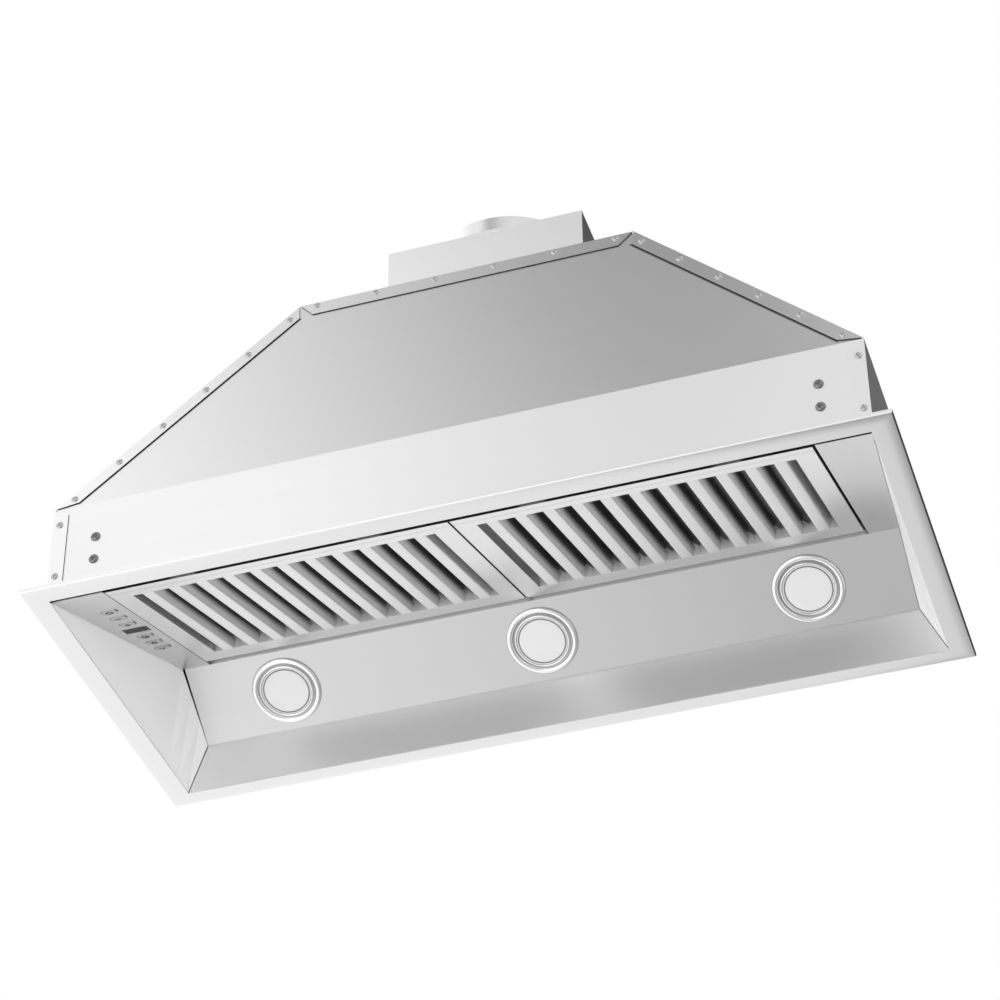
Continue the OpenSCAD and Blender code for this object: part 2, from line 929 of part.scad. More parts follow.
// Trim ring under the panel: an outer bead, a groove and an inner bead round the lens
module lamp_trim(place) {
    outer = lamp_d / 2;
    seat = lens_d / 2 + slack;
    bead = lamp_bead / 2;
    inner_bead = bead / 2;
    color("gainsboro")
    at_lamp(place)
        rotate_extrude() {
            translate([seat, -groove_proud])
                square([outer - bead - seat, groove_proud]);
            translate([outer - 2 * bead, -lamp_proud + bead])
                square([2 * bead, lamp_proud - bead]);
            intersection() {
                translate([outer - bead, -lamp_proud + bead]) circle(r = bead);
                translate([seat, -lamp_proud]) square([outer, lamp_proud]);
            }
            translate([seat, -lamp_proud + inner_bead])
                square([2 * inner_bead, lamp_proud - inner_bead]);
            translate([seat + inner_bead, -lamp_proud + inner_bead]) circle(r = inner_bead);
        }
}

// Frosted lens, with a chamfered edge
module lamp_lens(place) {
    r = lens_d / 2;
    chamfer = lens_proud / 4;
    color("white", 0.9)
    at_lamp(place)
        rotate_extrude()
            polygon([
                [0, -lens_proud],
                [r - chamfer, -lens_proud],
                [r, -lens_proud + chamfer],
                [r, lens_t - lens_proud],
                [0, lens_t - lens_proud]]);
}

// Lamp can: a cup through the panel with a flange behind the trim ring and cooling fins on its back
module lamp_can(place) {
    top = liner + can_depth;
    seat = lens_t - lens_proud;
    color("darkgray")
    at_lamp(place) {
        difference() {
            cylinder(r = can_r, h = top);
            translate([0, 0, -over])
                cylinder(r = can_r - can_wall, h = seat + can_depth / 2 + over);
        }
        translate([0, 0, seat])
            difference() {
                cylinder(r = can_r - can_wall / 2, h = can_wall);
                translate([0, 0, -over])
                    cylinder(r = lens_d / 2 - 2 * can_wall, h = can_wall + 2 * over);
            }
        for (i = [0 : fin_count - 1]) {
            x = (i - (fin_count - 1) / 2) * 2 * can_r / (fin_count + 1);
            half = sqrt(pow(can_r - can_wall, 2) - pow(abs(x) + fin_t / 2, 2));
            translate([x - fin_t / 2, -half, top - can_wall])
                cube([fin_t, 2 * half, fin_h + can_wall]);
        }
    }
}

module left_lamp_trim() { lamp_trim(-1); }
module middle_lamp_trim() { lamp_trim(0); }
module right_lamp_trim() { lamp_trim(1); }
module left_lamp_lens() { lamp_lens(-1); }
module middle_lamp_lens() { lamp_lens(0); }
module right_lamp_lens() { lamp_lens(1); }
module left_lamp_can() { lamp_can(-1); }
module middle_lamp_can() { lamp_can(0); }
module right_lamp_can() { lamp_can(1); }

// Puts a part at a place along the key strip, counted in key pitches from the display
module on_strip(slot) {
    on_filter_plane()
        translate([strip_x, strip_s + slot * key_pitch, 0]) children();
}

// One key: a cap through the strip, a skirt that keeps it in, and a stem down to its switch
module key(index) {
    color("gainsboro")
    on_strip(key_slots[index]) {
        rounded_block(key_w, key_l, -key_proud, liner + slack + key_skirt_t);
        rounded_block(key_w + 2 * key_skirt, key_l + 2 * key_skirt, liner + slack, liner + slack + key_skirt_t);
        translate([0, 0, liner])
            cylinder(r = key_stem_r, h = board_n - switch_h - stem_gap - key_travel - liner);
    }
}

module key_1() { key(0); }
module key_2() { key(1); }
module key_3() { key(2); }
module key_4() { key(3); }
module key_5() { key(4); }
module key_6() { key(5); }

// Display window, held from behind by its lip
module display_window() {
    color("black")
    on_strip(0) {
        rounded_block(display_w, display_l, 0, liner + window_t);
        rounded_block(display_w + 2 * window_lip, display_l + 2 * window_lip, liner, liner + window_t);
    }
}

// Circuit board with one switch under each key and a display block behind the window
module control_board() {
    w = housing_w - 2 * housing_wall - 2 * slack;
    l = housing_l - 2 * housing_wall - 2 * slack;
    color("darkgreen")
    on_strip(0) {
        translate([-w / 2, -l / 2, board_n])
            cube([w, l, board_t]);
        for (slot = key_slots)
            translate([-switch_w / 2, slot * key_pitch - switch_w / 2, board_n - switch_h])
                cube([switch_w, switch_w, switch_h]);
        translate([-display_w / 2, -display_l / 2, liner + window_t + slack])
            cube([display_w, display_l, board_n - liner - window_t - slack]);
    }
}

// Housing over the back of the key strip, with ribs that carry the board
module control_housing() {
    color("dimgray")
    on_strip(0)
        difference() {
            translate([-housing_w / 2, -housing_l / 2, liner])
                cube([housing_w, housing_l, housing_depth]);
            translate([-housing_w / 2 + housing_wall, -housing_l / 2 + housing_wall, liner - over])
                cube([housing_w - 2 * housing_wall, housing_l - 2 * housing_wall,
                    board_n + board_t - liner + over]);
            translate([-housing_w / 2 + 2 * housing_wall, -housing_l / 2 + 2 * housing_wall, liner])
                cube([housing_w - 4 * housing_wall, housing_l - 4 * housing_wall,
                    housing_depth - housing_wall]);
            translate([-cable_slot_w / 2, housing_l / 2 - 3 * housing_wall, liner + housing_depth - cable_slot_h])
                cube([cable_slot_w, 4 * housing_wall, cable_slot_h - housing_wall]);
        }
}

// Driver that feeds the lamps, screwed flat to the back panel
module lamp_driver() {
    y = back_y - sheet;
    color("whitesmoke")
    translate([driver_x, y, driver_z])
        difference() {
            union() {
                translate([-driver_w / 2, -driver_d, -driver_h / 2])
                    cube([driver_w, driver_d, driver_h]);
                translate([-driver_w / 2 - driver_foot, -driver_foot_t, -driver_h / 4])
                    cube([driver_w + 2 * driver_foot, driver_foot_t, driver_h / 2]);
            }
            for (side = [-1, 1])
                translate([side * (driver_w + driver_foot) / 2, 0, 0])
                    rotate([90, 0, 0])
                        cylinder(r = driver_hole_r, h = 4 * driver_foot_t, center = true);
        }
}

// Box over the blower's outlet, open below, with a foot flange on two sides and a round hole for the collar
module blower_box() {
    color("silver")
    translate([0, box_y, shell_h])
        difference() {
            union() {
                translate([-box_w / 2, -box_d / 2, 0])
                    cube([box_w, box_d, box_h]);
                for (side = [-1, 1])
                    translate([side * (box_w + box_flange) / 2, 0, sheet / 2])
                        cube([box_flange, box_d, sheet], center = true);
            }
            translate([-box_w / 2 + sheet, -box_d / 2 + sheet, -over])
                cube([box_w - 2 * sheet, box_d - 2 * sheet, box_h - sheet + over]);
            cylinder(r = box_hole_r, h = box_h + over);
            for (side = [-1, 1], step = [-1, 0, 1])
                translate([side * (box_w / 2 + box_screw_inset), step * box_d * 3 / 8, 0])
                    cylinder(r = screw_hole_r, h = 4 * sheet, center = true);
        }
}

// Round collar that the duct slides over, with a base flange and an inner stop for the flaps
module duct_collar() {
    stop_z = damper_z - collar_wall / 2 - slack - box_top;
    color("silver")
    translate([0, box_y, box_top])
        difference() {
            union() {
                rotate_extrude() {
                    translate([collar_r - collar_wall, 0])
                        square([collar_wall, collar_h]);
                    translate([collar_r - collar_wall, 0])
                        square([collar_flange + collar_wall, collar_wall]);
                }
                difference() {
                    rotate_extrude()
                        translate([collar_r - collar_wall - stop_w, stop_z - stop_t])
                            square([stop_w + collar_wall / 2, stop_t]);
                    translate([0, 0, stop_z])
                        cube([reach, 2 * barrel_r, 4 * stop_t], center = true);
                }
            }
            translate([-reach / 2, 0, damper_z - box_top])
                rotate([0, 90, 0])
                    cylinder(r = pin_r + run_gap, h = reach);
        }
}

// Pin across the collar, through its wall at both ends, that both flaps turn on
module damper_pin() {
    l = 2 * (collar_r - slack);
    color("dimgray")
    translate([-l / 2, box_y, damper_z])
        rotate([0, 90, 0])
            cylinder(r = pin_r, h = l);
}

// Half-round damper flap over y below the pin, with three knuckles on the pin
module damper_flap(places) {
    difference() {
        union() {
            intersection() {
                translate([0, 0, -collar_wall / 2])
                    cylinder(r = flap_r, h = collar_wall);
                translate([-flap_r, -flap_r, -collar_wall])
                    cube([2 * flap_r, flap_r - flap_root, 2 * collar_wall]);
            }
            for (x = places) {
                translate([x - knuckle_l / 2, 0, 0])
                    rotate([0, 90, 0])
                        cylinder(r = barrel_r, h = knuckle_l);
                translate([x - knuckle_l / 2, -flap_root - barrel_wall, -collar_wall / 2])
                    cube([knuckle_l, flap_root + barrel_wall, collar_wall]);
            }
        }
        translate([-reach / 2, 0, 0])
            rotate([0, 90, 0])
                cylinder(r = pin_r + run_gap, h = reach);
    }
}

module front_damper_flap() {
    color("lightgray")
    translate([0, box_y, damper_z])
        damper_flap(front_knuckles);
}

module rear_damper_flap() {
    color("lightgray")
    translate([0, box_y, damper_z])
        mirror([0, 1, 0]) damper_flap(rear_knuckles);
}

// Distance from the wheel's axis to the scroll's wall at an angle from +Y
function scroll_at(angle) = scroll_r0 + (scroll_r - scroll_r0) * (scroll_from - angle) / scroll_sweep;

// Outline of the scroll, grown by out, with its outlet rising to a height
module scroll_outline(out, top) {
    turn = [for (i = [0 : scroll_steps]) scroll_from - scroll_sweep * i / scroll_steps];
    polygon(concat(
        [[wheel_y + outlet_back + out, top]],
        [[wheel_y + outlet_back + out, axis_z + scroll_r0 * sin(scroll_from) + out]],
        [for (a = turn) if (a < scroll_from && a > scroll_end)
            [wheel_y + (scroll_at(a) + out) * cos(a), axis_z + (scroll_at(a) + out) * sin(a)]],
        [[wheel_y - scroll_r - out, axis_z]],
        [[wheel_y - scroll_r - out, top]]));
}

// Spiral wall of the scroll, with the outlet's front and back walls
module scroll_band() {
    color("gainsboro")
    difference() {
        along_x(-scroll_w / 2, scroll_w / 2) scroll_outline(scroll_sheet, box_top - sheet);
        along_x(-scroll_w / 2 - over, scroll_w / 2 + over) scroll_outline(0, box_top + over);
    }
}

// Right side plate of the scroll: inlet with a rolled lip, and a hanger under the top panel
module scroll_plate() {
    x = scroll_w / 2;
    under = shell_h - sheet;
    difference() {
        along_x(x, x + scroll_sheet) scroll_outline(scroll_sheet, box_top - sheet);
        translate([x - over, wheel_y, axis_z])
            rotate([0, 90, 0])
                cylinder(r = inlet_r + inlet_lip, h = scroll_sheet + 2 * over);
    }
    translate([x, wheel_y, axis_z])
        rotate([0, 90, 0])
            rotate_extrude()
                difference() {
                    translate([inlet_r + inlet_lip, -inlet_lip + scroll_sheet])
                        circle(r = inlet_lip);
                    translate([inlet_r + inlet_lip, -inlet_lip + scroll_sheet])
                        circle(r = inlet_lip - scroll_sheet);
                    translate([inlet_r + inlet_lip, -reach / 2])
                        square([reach, reach]);
                    translate([0, -reach - inlet_lip + scroll_sheet])
                        square([reach, reach]);
                }
    translate([x + opening_slack, wheel_y - hang_l / 2, under - scroll_sheet])
        cube([hang_w, hang_l, scroll_sheet]);
    translate([x, wheel_y - hang_l / 2, under - 3 * scroll_sheet])
        cube([opening_slack + scroll_sheet, hang_l, scroll_sheet]);
    translate([x + opening_slack, wheel_y - hang_l / 2, under - 3 * scroll_sheet])
        cube([scroll_sheet, hang_l, 3 * scroll_sheet]);
}

module left_scroll_plate() {
    color("lightgray") mirror([1, 0, 0]) scroll_plate();
}

module right_scroll_plate() {
    color("lightgray") scroll_plate();
}

// Section of one forward-curved blade: an arc from the wheel's inner to its outer edge
module blade_section() {
    inner = wheel_r - blade_depth;
    intersection() {
        translate([inner, -blade_r])
            difference() {
                circle(r = blade_r);
                circle(r = blade_r - blade_t);
            }
        translate([inner + blade_t / 2, -blade_r])
            square([blade_depth - blade_t, blade_r]);
    }
}

// Blower wheel: curved blades between two end rings, carried by an inner disc and its hub
module blower_wheel() {
    inner = wheel_r - blade_depth;
    color("whitesmoke")
    translate([0, wheel_y, axis_z])
        rotate([0, 90, 0]) {
            translate([0, 0, -wheel_l / 2])
                linear_extrude(wheel_l)
                    for (i = [0 : blade_count - 1])
                        rotate([0, 0, i * 360 / blade_count]) blade_section();
            for (z = [-wheel_l / 2, wheel_l / 2 - end_ring_t])
                translate([0, 0, z])
                    difference() {
                        cylinder(r = wheel_r, h = end_ring_t);
                        translate([0, 0, -over])
                            cylinder(r = inner, h = end_ring_t + 2 * over);
                    }
            difference() {
                union() {
                    translate([0, 0, disc_x]) cylinder(r = wheel_r, h = disc_t);
                    translate([0, 0, disc_x]) cylinder(r = hub_r, h = hub_l);
                }
                translate([0, 0, disc_x - over])
                    cylinder(r = shaft_r + run_gap / 2, h = hub_l + 2 * over);
            }
        }
}

// Shaft from the motor through the wheel's hub
module motor_shaft() {
    start = motor_x + motor_l - shaft_in;
    color("gray")
    translate([start, wheel_y, axis_z])
        rotate([0, 90, 0])
            cylinder(r = shaft_r, h = disc_x + hub_l - start);
}

// Motor inside the left half of the wheel, with a bored boss for its shaft
module blower_motor() {
    rim = motor_boss_l / 2;
    color("darkgray")
    translate([motor_x, wheel_y, axis_z])
        rotate([0, 90, 0])
            difference() {
                rotate_extrude()
                    polygon([
                        [0, 0],
                        [motor_d / 2 - rim, 0],
                        [motor_d / 2, rim],
                        [motor_d / 2, motor_l - motor_boss_l - rim],
                        [motor_d / 2 - rim, motor_l - motor_boss_l],
                        [motor_boss_r, motor_l - motor_boss_l],
                        [motor_boss_r, motor_l],
                        [0, motor_l]]);
                translate([0, 0, motor_l - shaft_in - slack])
                    cylinder(r = shaft_r + run_gap, h = shaft_in + slack + over);
            }
}

// Bracket on the left side plate: a ring round the motor and three arms across the inlet
module motor_bracket() {
    ring_r = motor_d / 2 + slack;
    color("dimgray")
    translate([-scroll_w / 2 - scroll_sheet - arm_t, wheel_y, axis_z])
        rotate([0, 90, 0])
            difference() {
                union() {
                    cylinder(r = ring_r + bracket_ring, h = arm_t);
                    for (a = [0, 120, 240])
                        rotate([0, 0, a])
                            translate([ring_r, -arm_w / 2, 0])
                                cube([bracket_out - ring_r, arm_w, arm_t]);
                }
                translate([0, 0, -over])
                    cylinder(r = ring_r, h = arm_t + 2 * over);
            }
}

// Wiring box on the top panel, open on top, with a knockout hole in its back wall
module junction_box() {
    color("lightgray")
    translate([junction_x, junction_y, shell_h])
        difference() {
            cube([junction_w, junction_l, junction_h]);
            translate([junction_wall, junction_wall, junction_wall])
                cube([junction_w - 2 * junction_wall, junction_l - 2 * junction_wall, junction_h]);
            translate([junction_w / 2, junction_l, junction_h / 2])
                rotate([90, 0, 0])
                    cylinder(r = knockout_r, h = 4 * junction_wall, center = true);
        }
}

// Lid of the wiring box, with a folded edge over its two long sides
module junction_cover() {
    color("lightgray")
    translate([junction_x - junction_wall - slack, junction_y, shell_h + junction_h]) {
        cube([junction_w + 2 * junction_wall + 2 * slack, junction_l, junction_wall]);
        for (x = [0, junction_w + junction_wall + 2 * slack])
            translate([x, 0, -junction_h / 4])
                cube([junction_wall, junction_l, junction_h / 4]);
    }
}

// Screw: a pan head standing on the floor, rounded at its top edge, with its shank below
module screw(head_r, head_h, shank_r, shank_l) {
    round_r = head_h * screw_round_share;
    rotate_extrude($fn = screw_sides) {
        square([head_r, head_h - round_r]);
        square([head_r - round_r, head_h]);
        intersection() {
            translate([head_r - round_r, head_h - round_r]) circle(r = round_r);
            square([head_r, head_h]);
        }
    }
    translate([0, 0, -shank_l])
        cylinder(r = shank_r, h = shank_l + head_h / 2, $fn = screw_sides);
}

// Screws through the shell's flanges, front and back
module seam_screws() {
    color("darkgray") {
        at_front_seams() screw(screw_head_r, screw_head_h, screw_hole_r - slack, 3 * sheet);
        at_back_seams() screw(screw_head_r, screw_head_h, screw_hole_r - slack, 3 * sheet);
    }
}

// Larger screws through the band into the brackets
module band_screws() {
    color("dimgray")
    for (side = [-1, 1], step = [-1, 1])
        translate([side * band_screw_x, front_y, band_screw_mid_z + step * band_screw_rise / 2])
            rotate([90, 0, 0])
                screw(band_head_r, band_head_h, band_hole_r - slack, 3 * sheet);
}

// Screws through the blower box's foot flanges
module box_screws() {
    color("darkgray")
    for (side = [-1, 1], step = [-1, 0, 1])
        translate([side * (box_w / 2 + box_screw_inset), box_y + step * box_d * 3 / 8, shell_h + sheet])
            screw(screw_head_r, screw_head_h, screw_hole_r - slack, sheet);
}

trim_flange();
front_panel();
back_panel();
left_side_panel();
right_side_panel();
top_panel();
left_liner_wall();
right_liner_wall();
rear_liner_wall();
light_panel();
control_panel();
blank_panel();
left_bracket();
right_bracket();
filter_catches();
left_filter_frame();
left_filter_front_baffles();
left_filter_rear_baffles();
right_filter_frame();
right_filter_front_baffles();
right_filter_rear_baffles();
left_lamp_trim();
middle_lamp_trim();
right_lamp_trim();
left_lamp_lens();
middle_lamp_lens();
right_lamp_lens();
left_lamp_can();
middle_lamp_can();
right_lamp_can();
key_1();
key_2();
key_3();
key_4();
key_5();
key_6();
display_window();
control_board();
control_housing();
lamp_driver();
blower_box();
duct_collar();
damper_pin();
front_damper_flap();
rear_damper_flap();
scroll_band();
left_scroll_plate();
right_scroll_plate();
blower_wheel();
motor_shaft();
blower_motor();
motor_bracket();
junction_box();
junction_cover();
seam_screws();
band_screws();
box_screws();
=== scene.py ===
# %% [markdown]
# # A range hood insert in brushed stainless steel
# The solids come from the CAD model, already at their places in metres. This script gives them
# their finishes, adds the forms that sheet metal has and plain solids lack, and lights the whole.

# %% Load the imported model
import json
import bmesh
import bpy
import numpy as np
from mathutils import Matrix, Vector

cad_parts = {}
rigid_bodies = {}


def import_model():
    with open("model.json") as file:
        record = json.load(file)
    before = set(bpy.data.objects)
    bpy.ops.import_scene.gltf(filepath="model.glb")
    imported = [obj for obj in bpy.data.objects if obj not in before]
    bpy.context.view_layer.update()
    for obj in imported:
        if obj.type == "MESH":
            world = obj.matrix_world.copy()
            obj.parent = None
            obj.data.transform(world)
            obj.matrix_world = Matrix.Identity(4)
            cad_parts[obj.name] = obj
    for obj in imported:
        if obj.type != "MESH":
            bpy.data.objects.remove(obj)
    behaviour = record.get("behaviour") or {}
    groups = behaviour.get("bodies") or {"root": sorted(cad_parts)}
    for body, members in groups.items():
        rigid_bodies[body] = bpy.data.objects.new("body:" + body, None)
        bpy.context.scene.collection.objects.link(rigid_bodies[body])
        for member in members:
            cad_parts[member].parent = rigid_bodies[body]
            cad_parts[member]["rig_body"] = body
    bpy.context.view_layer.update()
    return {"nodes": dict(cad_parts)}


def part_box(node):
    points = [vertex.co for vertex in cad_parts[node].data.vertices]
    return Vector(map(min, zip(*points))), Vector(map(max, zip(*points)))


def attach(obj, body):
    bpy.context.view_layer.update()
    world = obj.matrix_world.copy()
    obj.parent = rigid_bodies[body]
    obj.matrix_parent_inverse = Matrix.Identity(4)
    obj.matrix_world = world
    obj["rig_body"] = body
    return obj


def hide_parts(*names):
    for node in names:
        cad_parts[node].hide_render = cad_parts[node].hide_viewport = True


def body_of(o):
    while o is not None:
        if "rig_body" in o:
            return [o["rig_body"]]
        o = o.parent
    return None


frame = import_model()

# %% [markdown]
# ## The hood's own frame
# The filters lie on a plane that rises from the low edge of the opening to a bend, and the lamps
# sit on a panel that drops from that bend. Both are turned about the width, so a point on either
# is a distance along the panel and a distance into the hood. These few sizes are the CAD model's:
# the opening's edges, and the run and rise of each panel.

# %% The two tilted planes
MM = 0.001
OPEN_X, OPEN_NEAR, OPEN_FAR = 480.0 * MM, -210.4 * MM, 209.0 * MM
FILTER_RUN, FILTER_RISE = 316.7 * MM, 113.0 * MM
LIGHT_RUN, LIGHT_DROP = 91.4 * MM, 54.4 * MM
FILTER_TILT = np.arctan2(FILTER_RISE, FILTER_RUN)
LIGHT_TILT = np.arctan2(LIGHT_DROP, LIGHT_RUN)
BEND = np.array([0.0, OPEN_NEAR + FILTER_RUN, FILTER_RISE])


def turned(points, start, angle):
    """Points (x, along, into) on a plane that starts at `start` and is turned by `angle` a about X:
    y = along cos a - into sin a, and z = along sin a + into cos a."""
    p = np.asarray(points, float)
    y = p[..., 1] * np.cos(angle) - p[..., 2] * np.sin(angle)
    z = p[..., 1] * np.sin(angle) + p[..., 2] * np.cos(angle)
    return np.stack([p[..., 0], y, z], axis=-1) + np.asarray(start)


def on_filter_plane(points):
    """Filter plane: along runs up the slope from the opening's low edge."""
    return turned(points, (0.0, OPEN_NEAR, 0.0), FILTER_TILT)


def on_light_panel(points):
    """Light panel: along runs down from the bend."""
    return turned(points, BEND, -LIGHT_TILT)


print("filter plane rises at", round(np.degrees(FILTER_TILT), 2), "degrees")

# %% [markdown]
# ## What a new piece stands for
# A piece drawn anew below takes the place of a CAD node: it moves with that node's body, and the
# node itself is hidden.


def stands_for(piece, node, instead=True):
    """Gives `piece` the body of `node`, and takes the node's place if `instead`."""
    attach(piece, body_of(frame["nodes"][node])[0])
    if instead:
        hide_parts(node)


# %% [markdown]
# ## Camera
# The photograph looks up into the recess from below, with a long lens. The place, the turn and
# the lens were fitted to the straight edges of the rim, the recess and the shell.

# %% Camera
AZIMUTH, ELEVATION, ROLL = np.radians([17.458, -38.758, -0.566])
CAMERA_AT = np.array([0.86352, -2.75937, -2.13302])
LENS = 111.576


def camera_axes(azimuth, elevation, roll):
    """Right, up and back: back points from the object to the camera, and roll turns the other two."""
    back = np.array([np.sin(azimuth) * np.cos(elevation),
                     -np.cos(azimuth) * np.cos(elevation), np.sin(elevation)])
    right = np.cross(-back, [0.0, 0.0, 1.0])
    right /= np.linalg.norm(right)
    up = np.cross(right, -back)
    return (np.cos(roll) * right + np.sin(roll) * up,
            -np.sin(roll) * right + np.cos(roll) * up, back)


camera = bpy.data.objects.new("camera", bpy.data.cameras.new("camera"))
bpy.context.scene.collection.objects.link(camera)
axes = np.array(camera_axes(AZIMUTH, ELEVATION, ROLL)).T
camera.matrix_world = Matrix.Translation(CAMERA_AT) @ Matrix(axes.tolist()).to_4x4()
camera.data.sensor_width = 36.0
camera.data.lens = LENS
camera.data.clip_end = 60.0
bpy.context.scene.camera = camera
bpy.context.scene.view_settings.view_transform = "Standard"
print("lens", LENS, "mm")

# %% [markdown]
# ## Helpers for node trees
# A colour is written as it looks on a screen and is turned to linear light in one place. Every
# shader below is a handful of nodes, and one function makes a node, sets it and links it. Two
# more spread a noise over a range and start an empty material.


# %% Colour and node helpers
def linear(code):
    """sRGB hex to linear: each channel c becomes ((c + 0.055) / 1.055) ** 2.4, or c / 12.92 if dark."""
    c = np.array([int(code[i:i + 2], 16) for i in (1, 3, 5)]) / 255.0
    c = np.where(c <= 0.04045, c / 12.92, ((c + 0.055) / 1.055) ** 2.4)
    return (*c.tolist(), 1.0)


def add(tree, kind, inputs=None, **settings):
    """Adds a node, sets its properties, and links or sets each input."""
    made = tree.nodes.new(kind)
    for name, value in settings.items():
        setattr(made, name, value)
    for name, value in (inputs or {}).items():
        if isinstance(value, bpy.types.NodeSocket):
            tree.links.new(value, made.inputs[name])
        else:
            made.inputs[name].default_value = value
    return made


def spread(tree, noise, low, high, start=0.3, end=0.7):
    """Spreads a noise, which mostly runs from 0.3 to 0.7, over low to high."""
    return add(tree, "ShaderNodeMapRange", {"Value": noise, "From Min": start, "From Max": end,
                                            "To Min": low, "To Max": high}).outputs["Result"]


def new_material(name):
    """An empty node material, returned with its tree and its output."""
    material = bpy.data.materials.new(name)
    material.use_nodes = True
    tree = material.node_tree
    tree.nodes.clear()
    return material, tree, tree.nodes.new("ShaderNodeOutputMaterial")


print("#808080 is", round(linear("#808080")[0], 3), "in linear light")

# %% [markdown]
# ## Meshes from grids
# Sheet metal is bent, turned or drawn, so each new piece below is a grid of points: a section
# carried along a path, or a profile turned about an axis. One helper joins a grid's neighbours
# with quads. Another welds the seams, turns every face outwards and marks the real corners sharp.


# %% Mesh helpers
def mesh_piece(name, points, faces, marks=None, corner=35.0):
    """A mesh at the origin from points and faces. Doubles are welded, and edges over `corner` degrees
    stay sharp. `marks` gives each face's material."""
    mesh = bpy.data.meshes.new(name)
    mesh.from_pydata(np.asarray(points, float).reshape(-1, 3).tolist(), [],
                     np.asarray(faces).tolist())
    if marks is not None:
        mesh.polygons.foreach_set("material_index", np.asarray(marks, np.int32))
    work = bmesh.new()
    work.from_mesh(mesh)
    bmesh.ops.remove_doubles(work, verts=work.verts, dist=1e-7)
    bmesh.ops.dissolve_degenerate(work, edges=work.edges, dist=1e-8)
    if corner:
        bmesh.ops.recalc_face_normals(work, faces=work.faces)
    work.to_mesh(mesh)
    work.free()
    mesh.polygons.foreach_set("use_smooth", np.full(len(mesh.polygons), bool(corner)))
    if corner:
        mesh.set_sharp_from_angle(angle=np.radians(corner))
    mesh.update()
    piece = bpy.data.objects.new(name, mesh)
    bpy.context.scene.collection.objects.link(piece)
    return piece


def grid_faces(rows, columns, closed_u=False, closed_v=False):
    """Quads of a grid of rows by columns points. A closed direction wraps round."""
    u = np.arange(rows if closed_u else rows - 1)[:, None]
    v = np.arange(columns if closed_v else columns - 1)[None, :]
    u1, v1 = (u + 1) % rows, (v + 1) % columns
    quads = np.broadcast_arrays(u * columns + v, u1 * columns + v, u1 * columns + v1, u * columns + v1)
    return np.stack(quads, axis=-1).reshape(-1, 4)


def sheet_between(name, corners):
    """A flat quad, from four corners."""
    return mesh_piece(name, corners, [[0, 1, 2, 3]], corner=None)


print("mesh helpers ready")

# %% [markdown]
# ## Studio
# Brushed metal shows its surroundings more than its own colour, so the room is part of the
# finish. The room is white. Large graduated cards stand out of the camera's sight where each
# face mirrors them: one above for the leaning front, one in front for the upright band, a dark
# one behind for the end panels, another beside it for the rim's right edge, and a pale floor far
# below for the recess. The floor is painted for the eye and glows for mirrored rays only, so it
# keeps the hood's shadow. Its underside is clear, because the hood is also looked at from below.

# %% Light levels of the room
# for each card and each strip of the floor: places along X in metres, and the level at each
STUDIO = {
    "above": [(-2.4, 1.40), (-1.2, 0.79), (-0.3, 0.17), (0.8, 0.86)],
    "front": [(-2.4, 0.99), (-1.6, 1.48), (-0.9, 0.48), (0.2, 0.99)],
    "behind": [(-1.0, 0.05), (3.0, 0.05)],
    "beside": [(1.0, 0.04), (5.0, 0.04)],
    "floor_far": [(-2.4, 1.06), (-1.0, 0.93), (-0.2, 0.99), (0.9, 0.28)],
    "floor_mid": [(-1.8, 1.25), (-0.8, 0.98), (-0.2, 0.68), (0.6, 0.46)],
    "floor_front": [(-2.0, 1.45), (-0.9, 1.50), (0.0, 0.85), (1.0, 0.55)],
}
WORLD_LIGHT, WORLD_SEEN = 1.62, 1.0
FRONT_BOX_WATTS, LOW_BOX_WATTS = 3.9, 1.0
print("graded levels for", ", ".join(STUDIO))

# %% [markdown]
# ## World
# The room's light on dull surfaces is stronger than the white that is seen and mirrored. So the
# blasted end walls and the lenses are bright, as in the photograph, and the mirroring steel keeps
# its greys.

# %% World
world = bpy.data.worlds.new("studio")
bpy.context.scene.world = world
world.use_nodes = True
tree = world.node_tree
tree.nodes.clear()
rays = add(tree, "ShaderNodeLightPath")
seen = add(tree, "ShaderNodeMath", {0: rays.outputs["Is Camera Ray"], 1: rays.outputs["Is Glossy Ray"]},
           operation="MAXIMUM")
seen = add(tree, "ShaderNodeMath", {0: seen.outputs[0], 1: rays.outputs["Is Transmission Ray"]},
           operation="MAXIMUM")
strength = add(tree, "ShaderNodeMapRange", {"Value": seen.outputs[0], "To Min": WORLD_LIGHT,
                                            "To Max": WORLD_SEEN})
background = add(tree, "ShaderNodeBackground", {"Color": (1.0, 1.0, 1.0, 1.0),
                                                "Strength": strength.outputs["Result"]})
out = add(tree, "ShaderNodeOutputWorld")
tree.links.new(background.outputs[0], out.inputs["Surface"])
print("world lights at", WORLD_LIGHT, "and is seen at", WORLD_SEEN)


# %% [markdown]
# ## Cards
# A photographer bends white and black card round shining sheet. A card here is one quad that
# glows. Its level changes along X, which gives each flat face its slow change from left to right.
# A plain area lamp is even from edge to edge, so it can't do that.

# %% Graduated levels
def graded(tree, value, stops):
    """A level that runs in straight lines between (place, level) stops along `value`. The ramp holds
    half of each level, so levels go up to 2."""
    start, end = stops[0][0], stops[-1][0]
    share = add(tree, "ShaderNodeMapRange", {"Value": value, "From Min": start, "From Max": end})
    ramp = add(tree, "ShaderNodeValToRGB", {"Fac": share.outputs["Result"]})
    while len(ramp.color_ramp.elements) < len(stops):
        ramp.color_ramp.elements.new(0.5)
    for element, (place, level) in zip(ramp.color_ramp.elements, stops):
        element.position = (place - start) / (end - start)
        element.color = (level / 2, level / 2, level / 2, 1.0)
    return add(tree, "ShaderNodeMath", {0: ramp.outputs["Color"], 1: 2.0},
               operation="MULTIPLY").outputs[0]


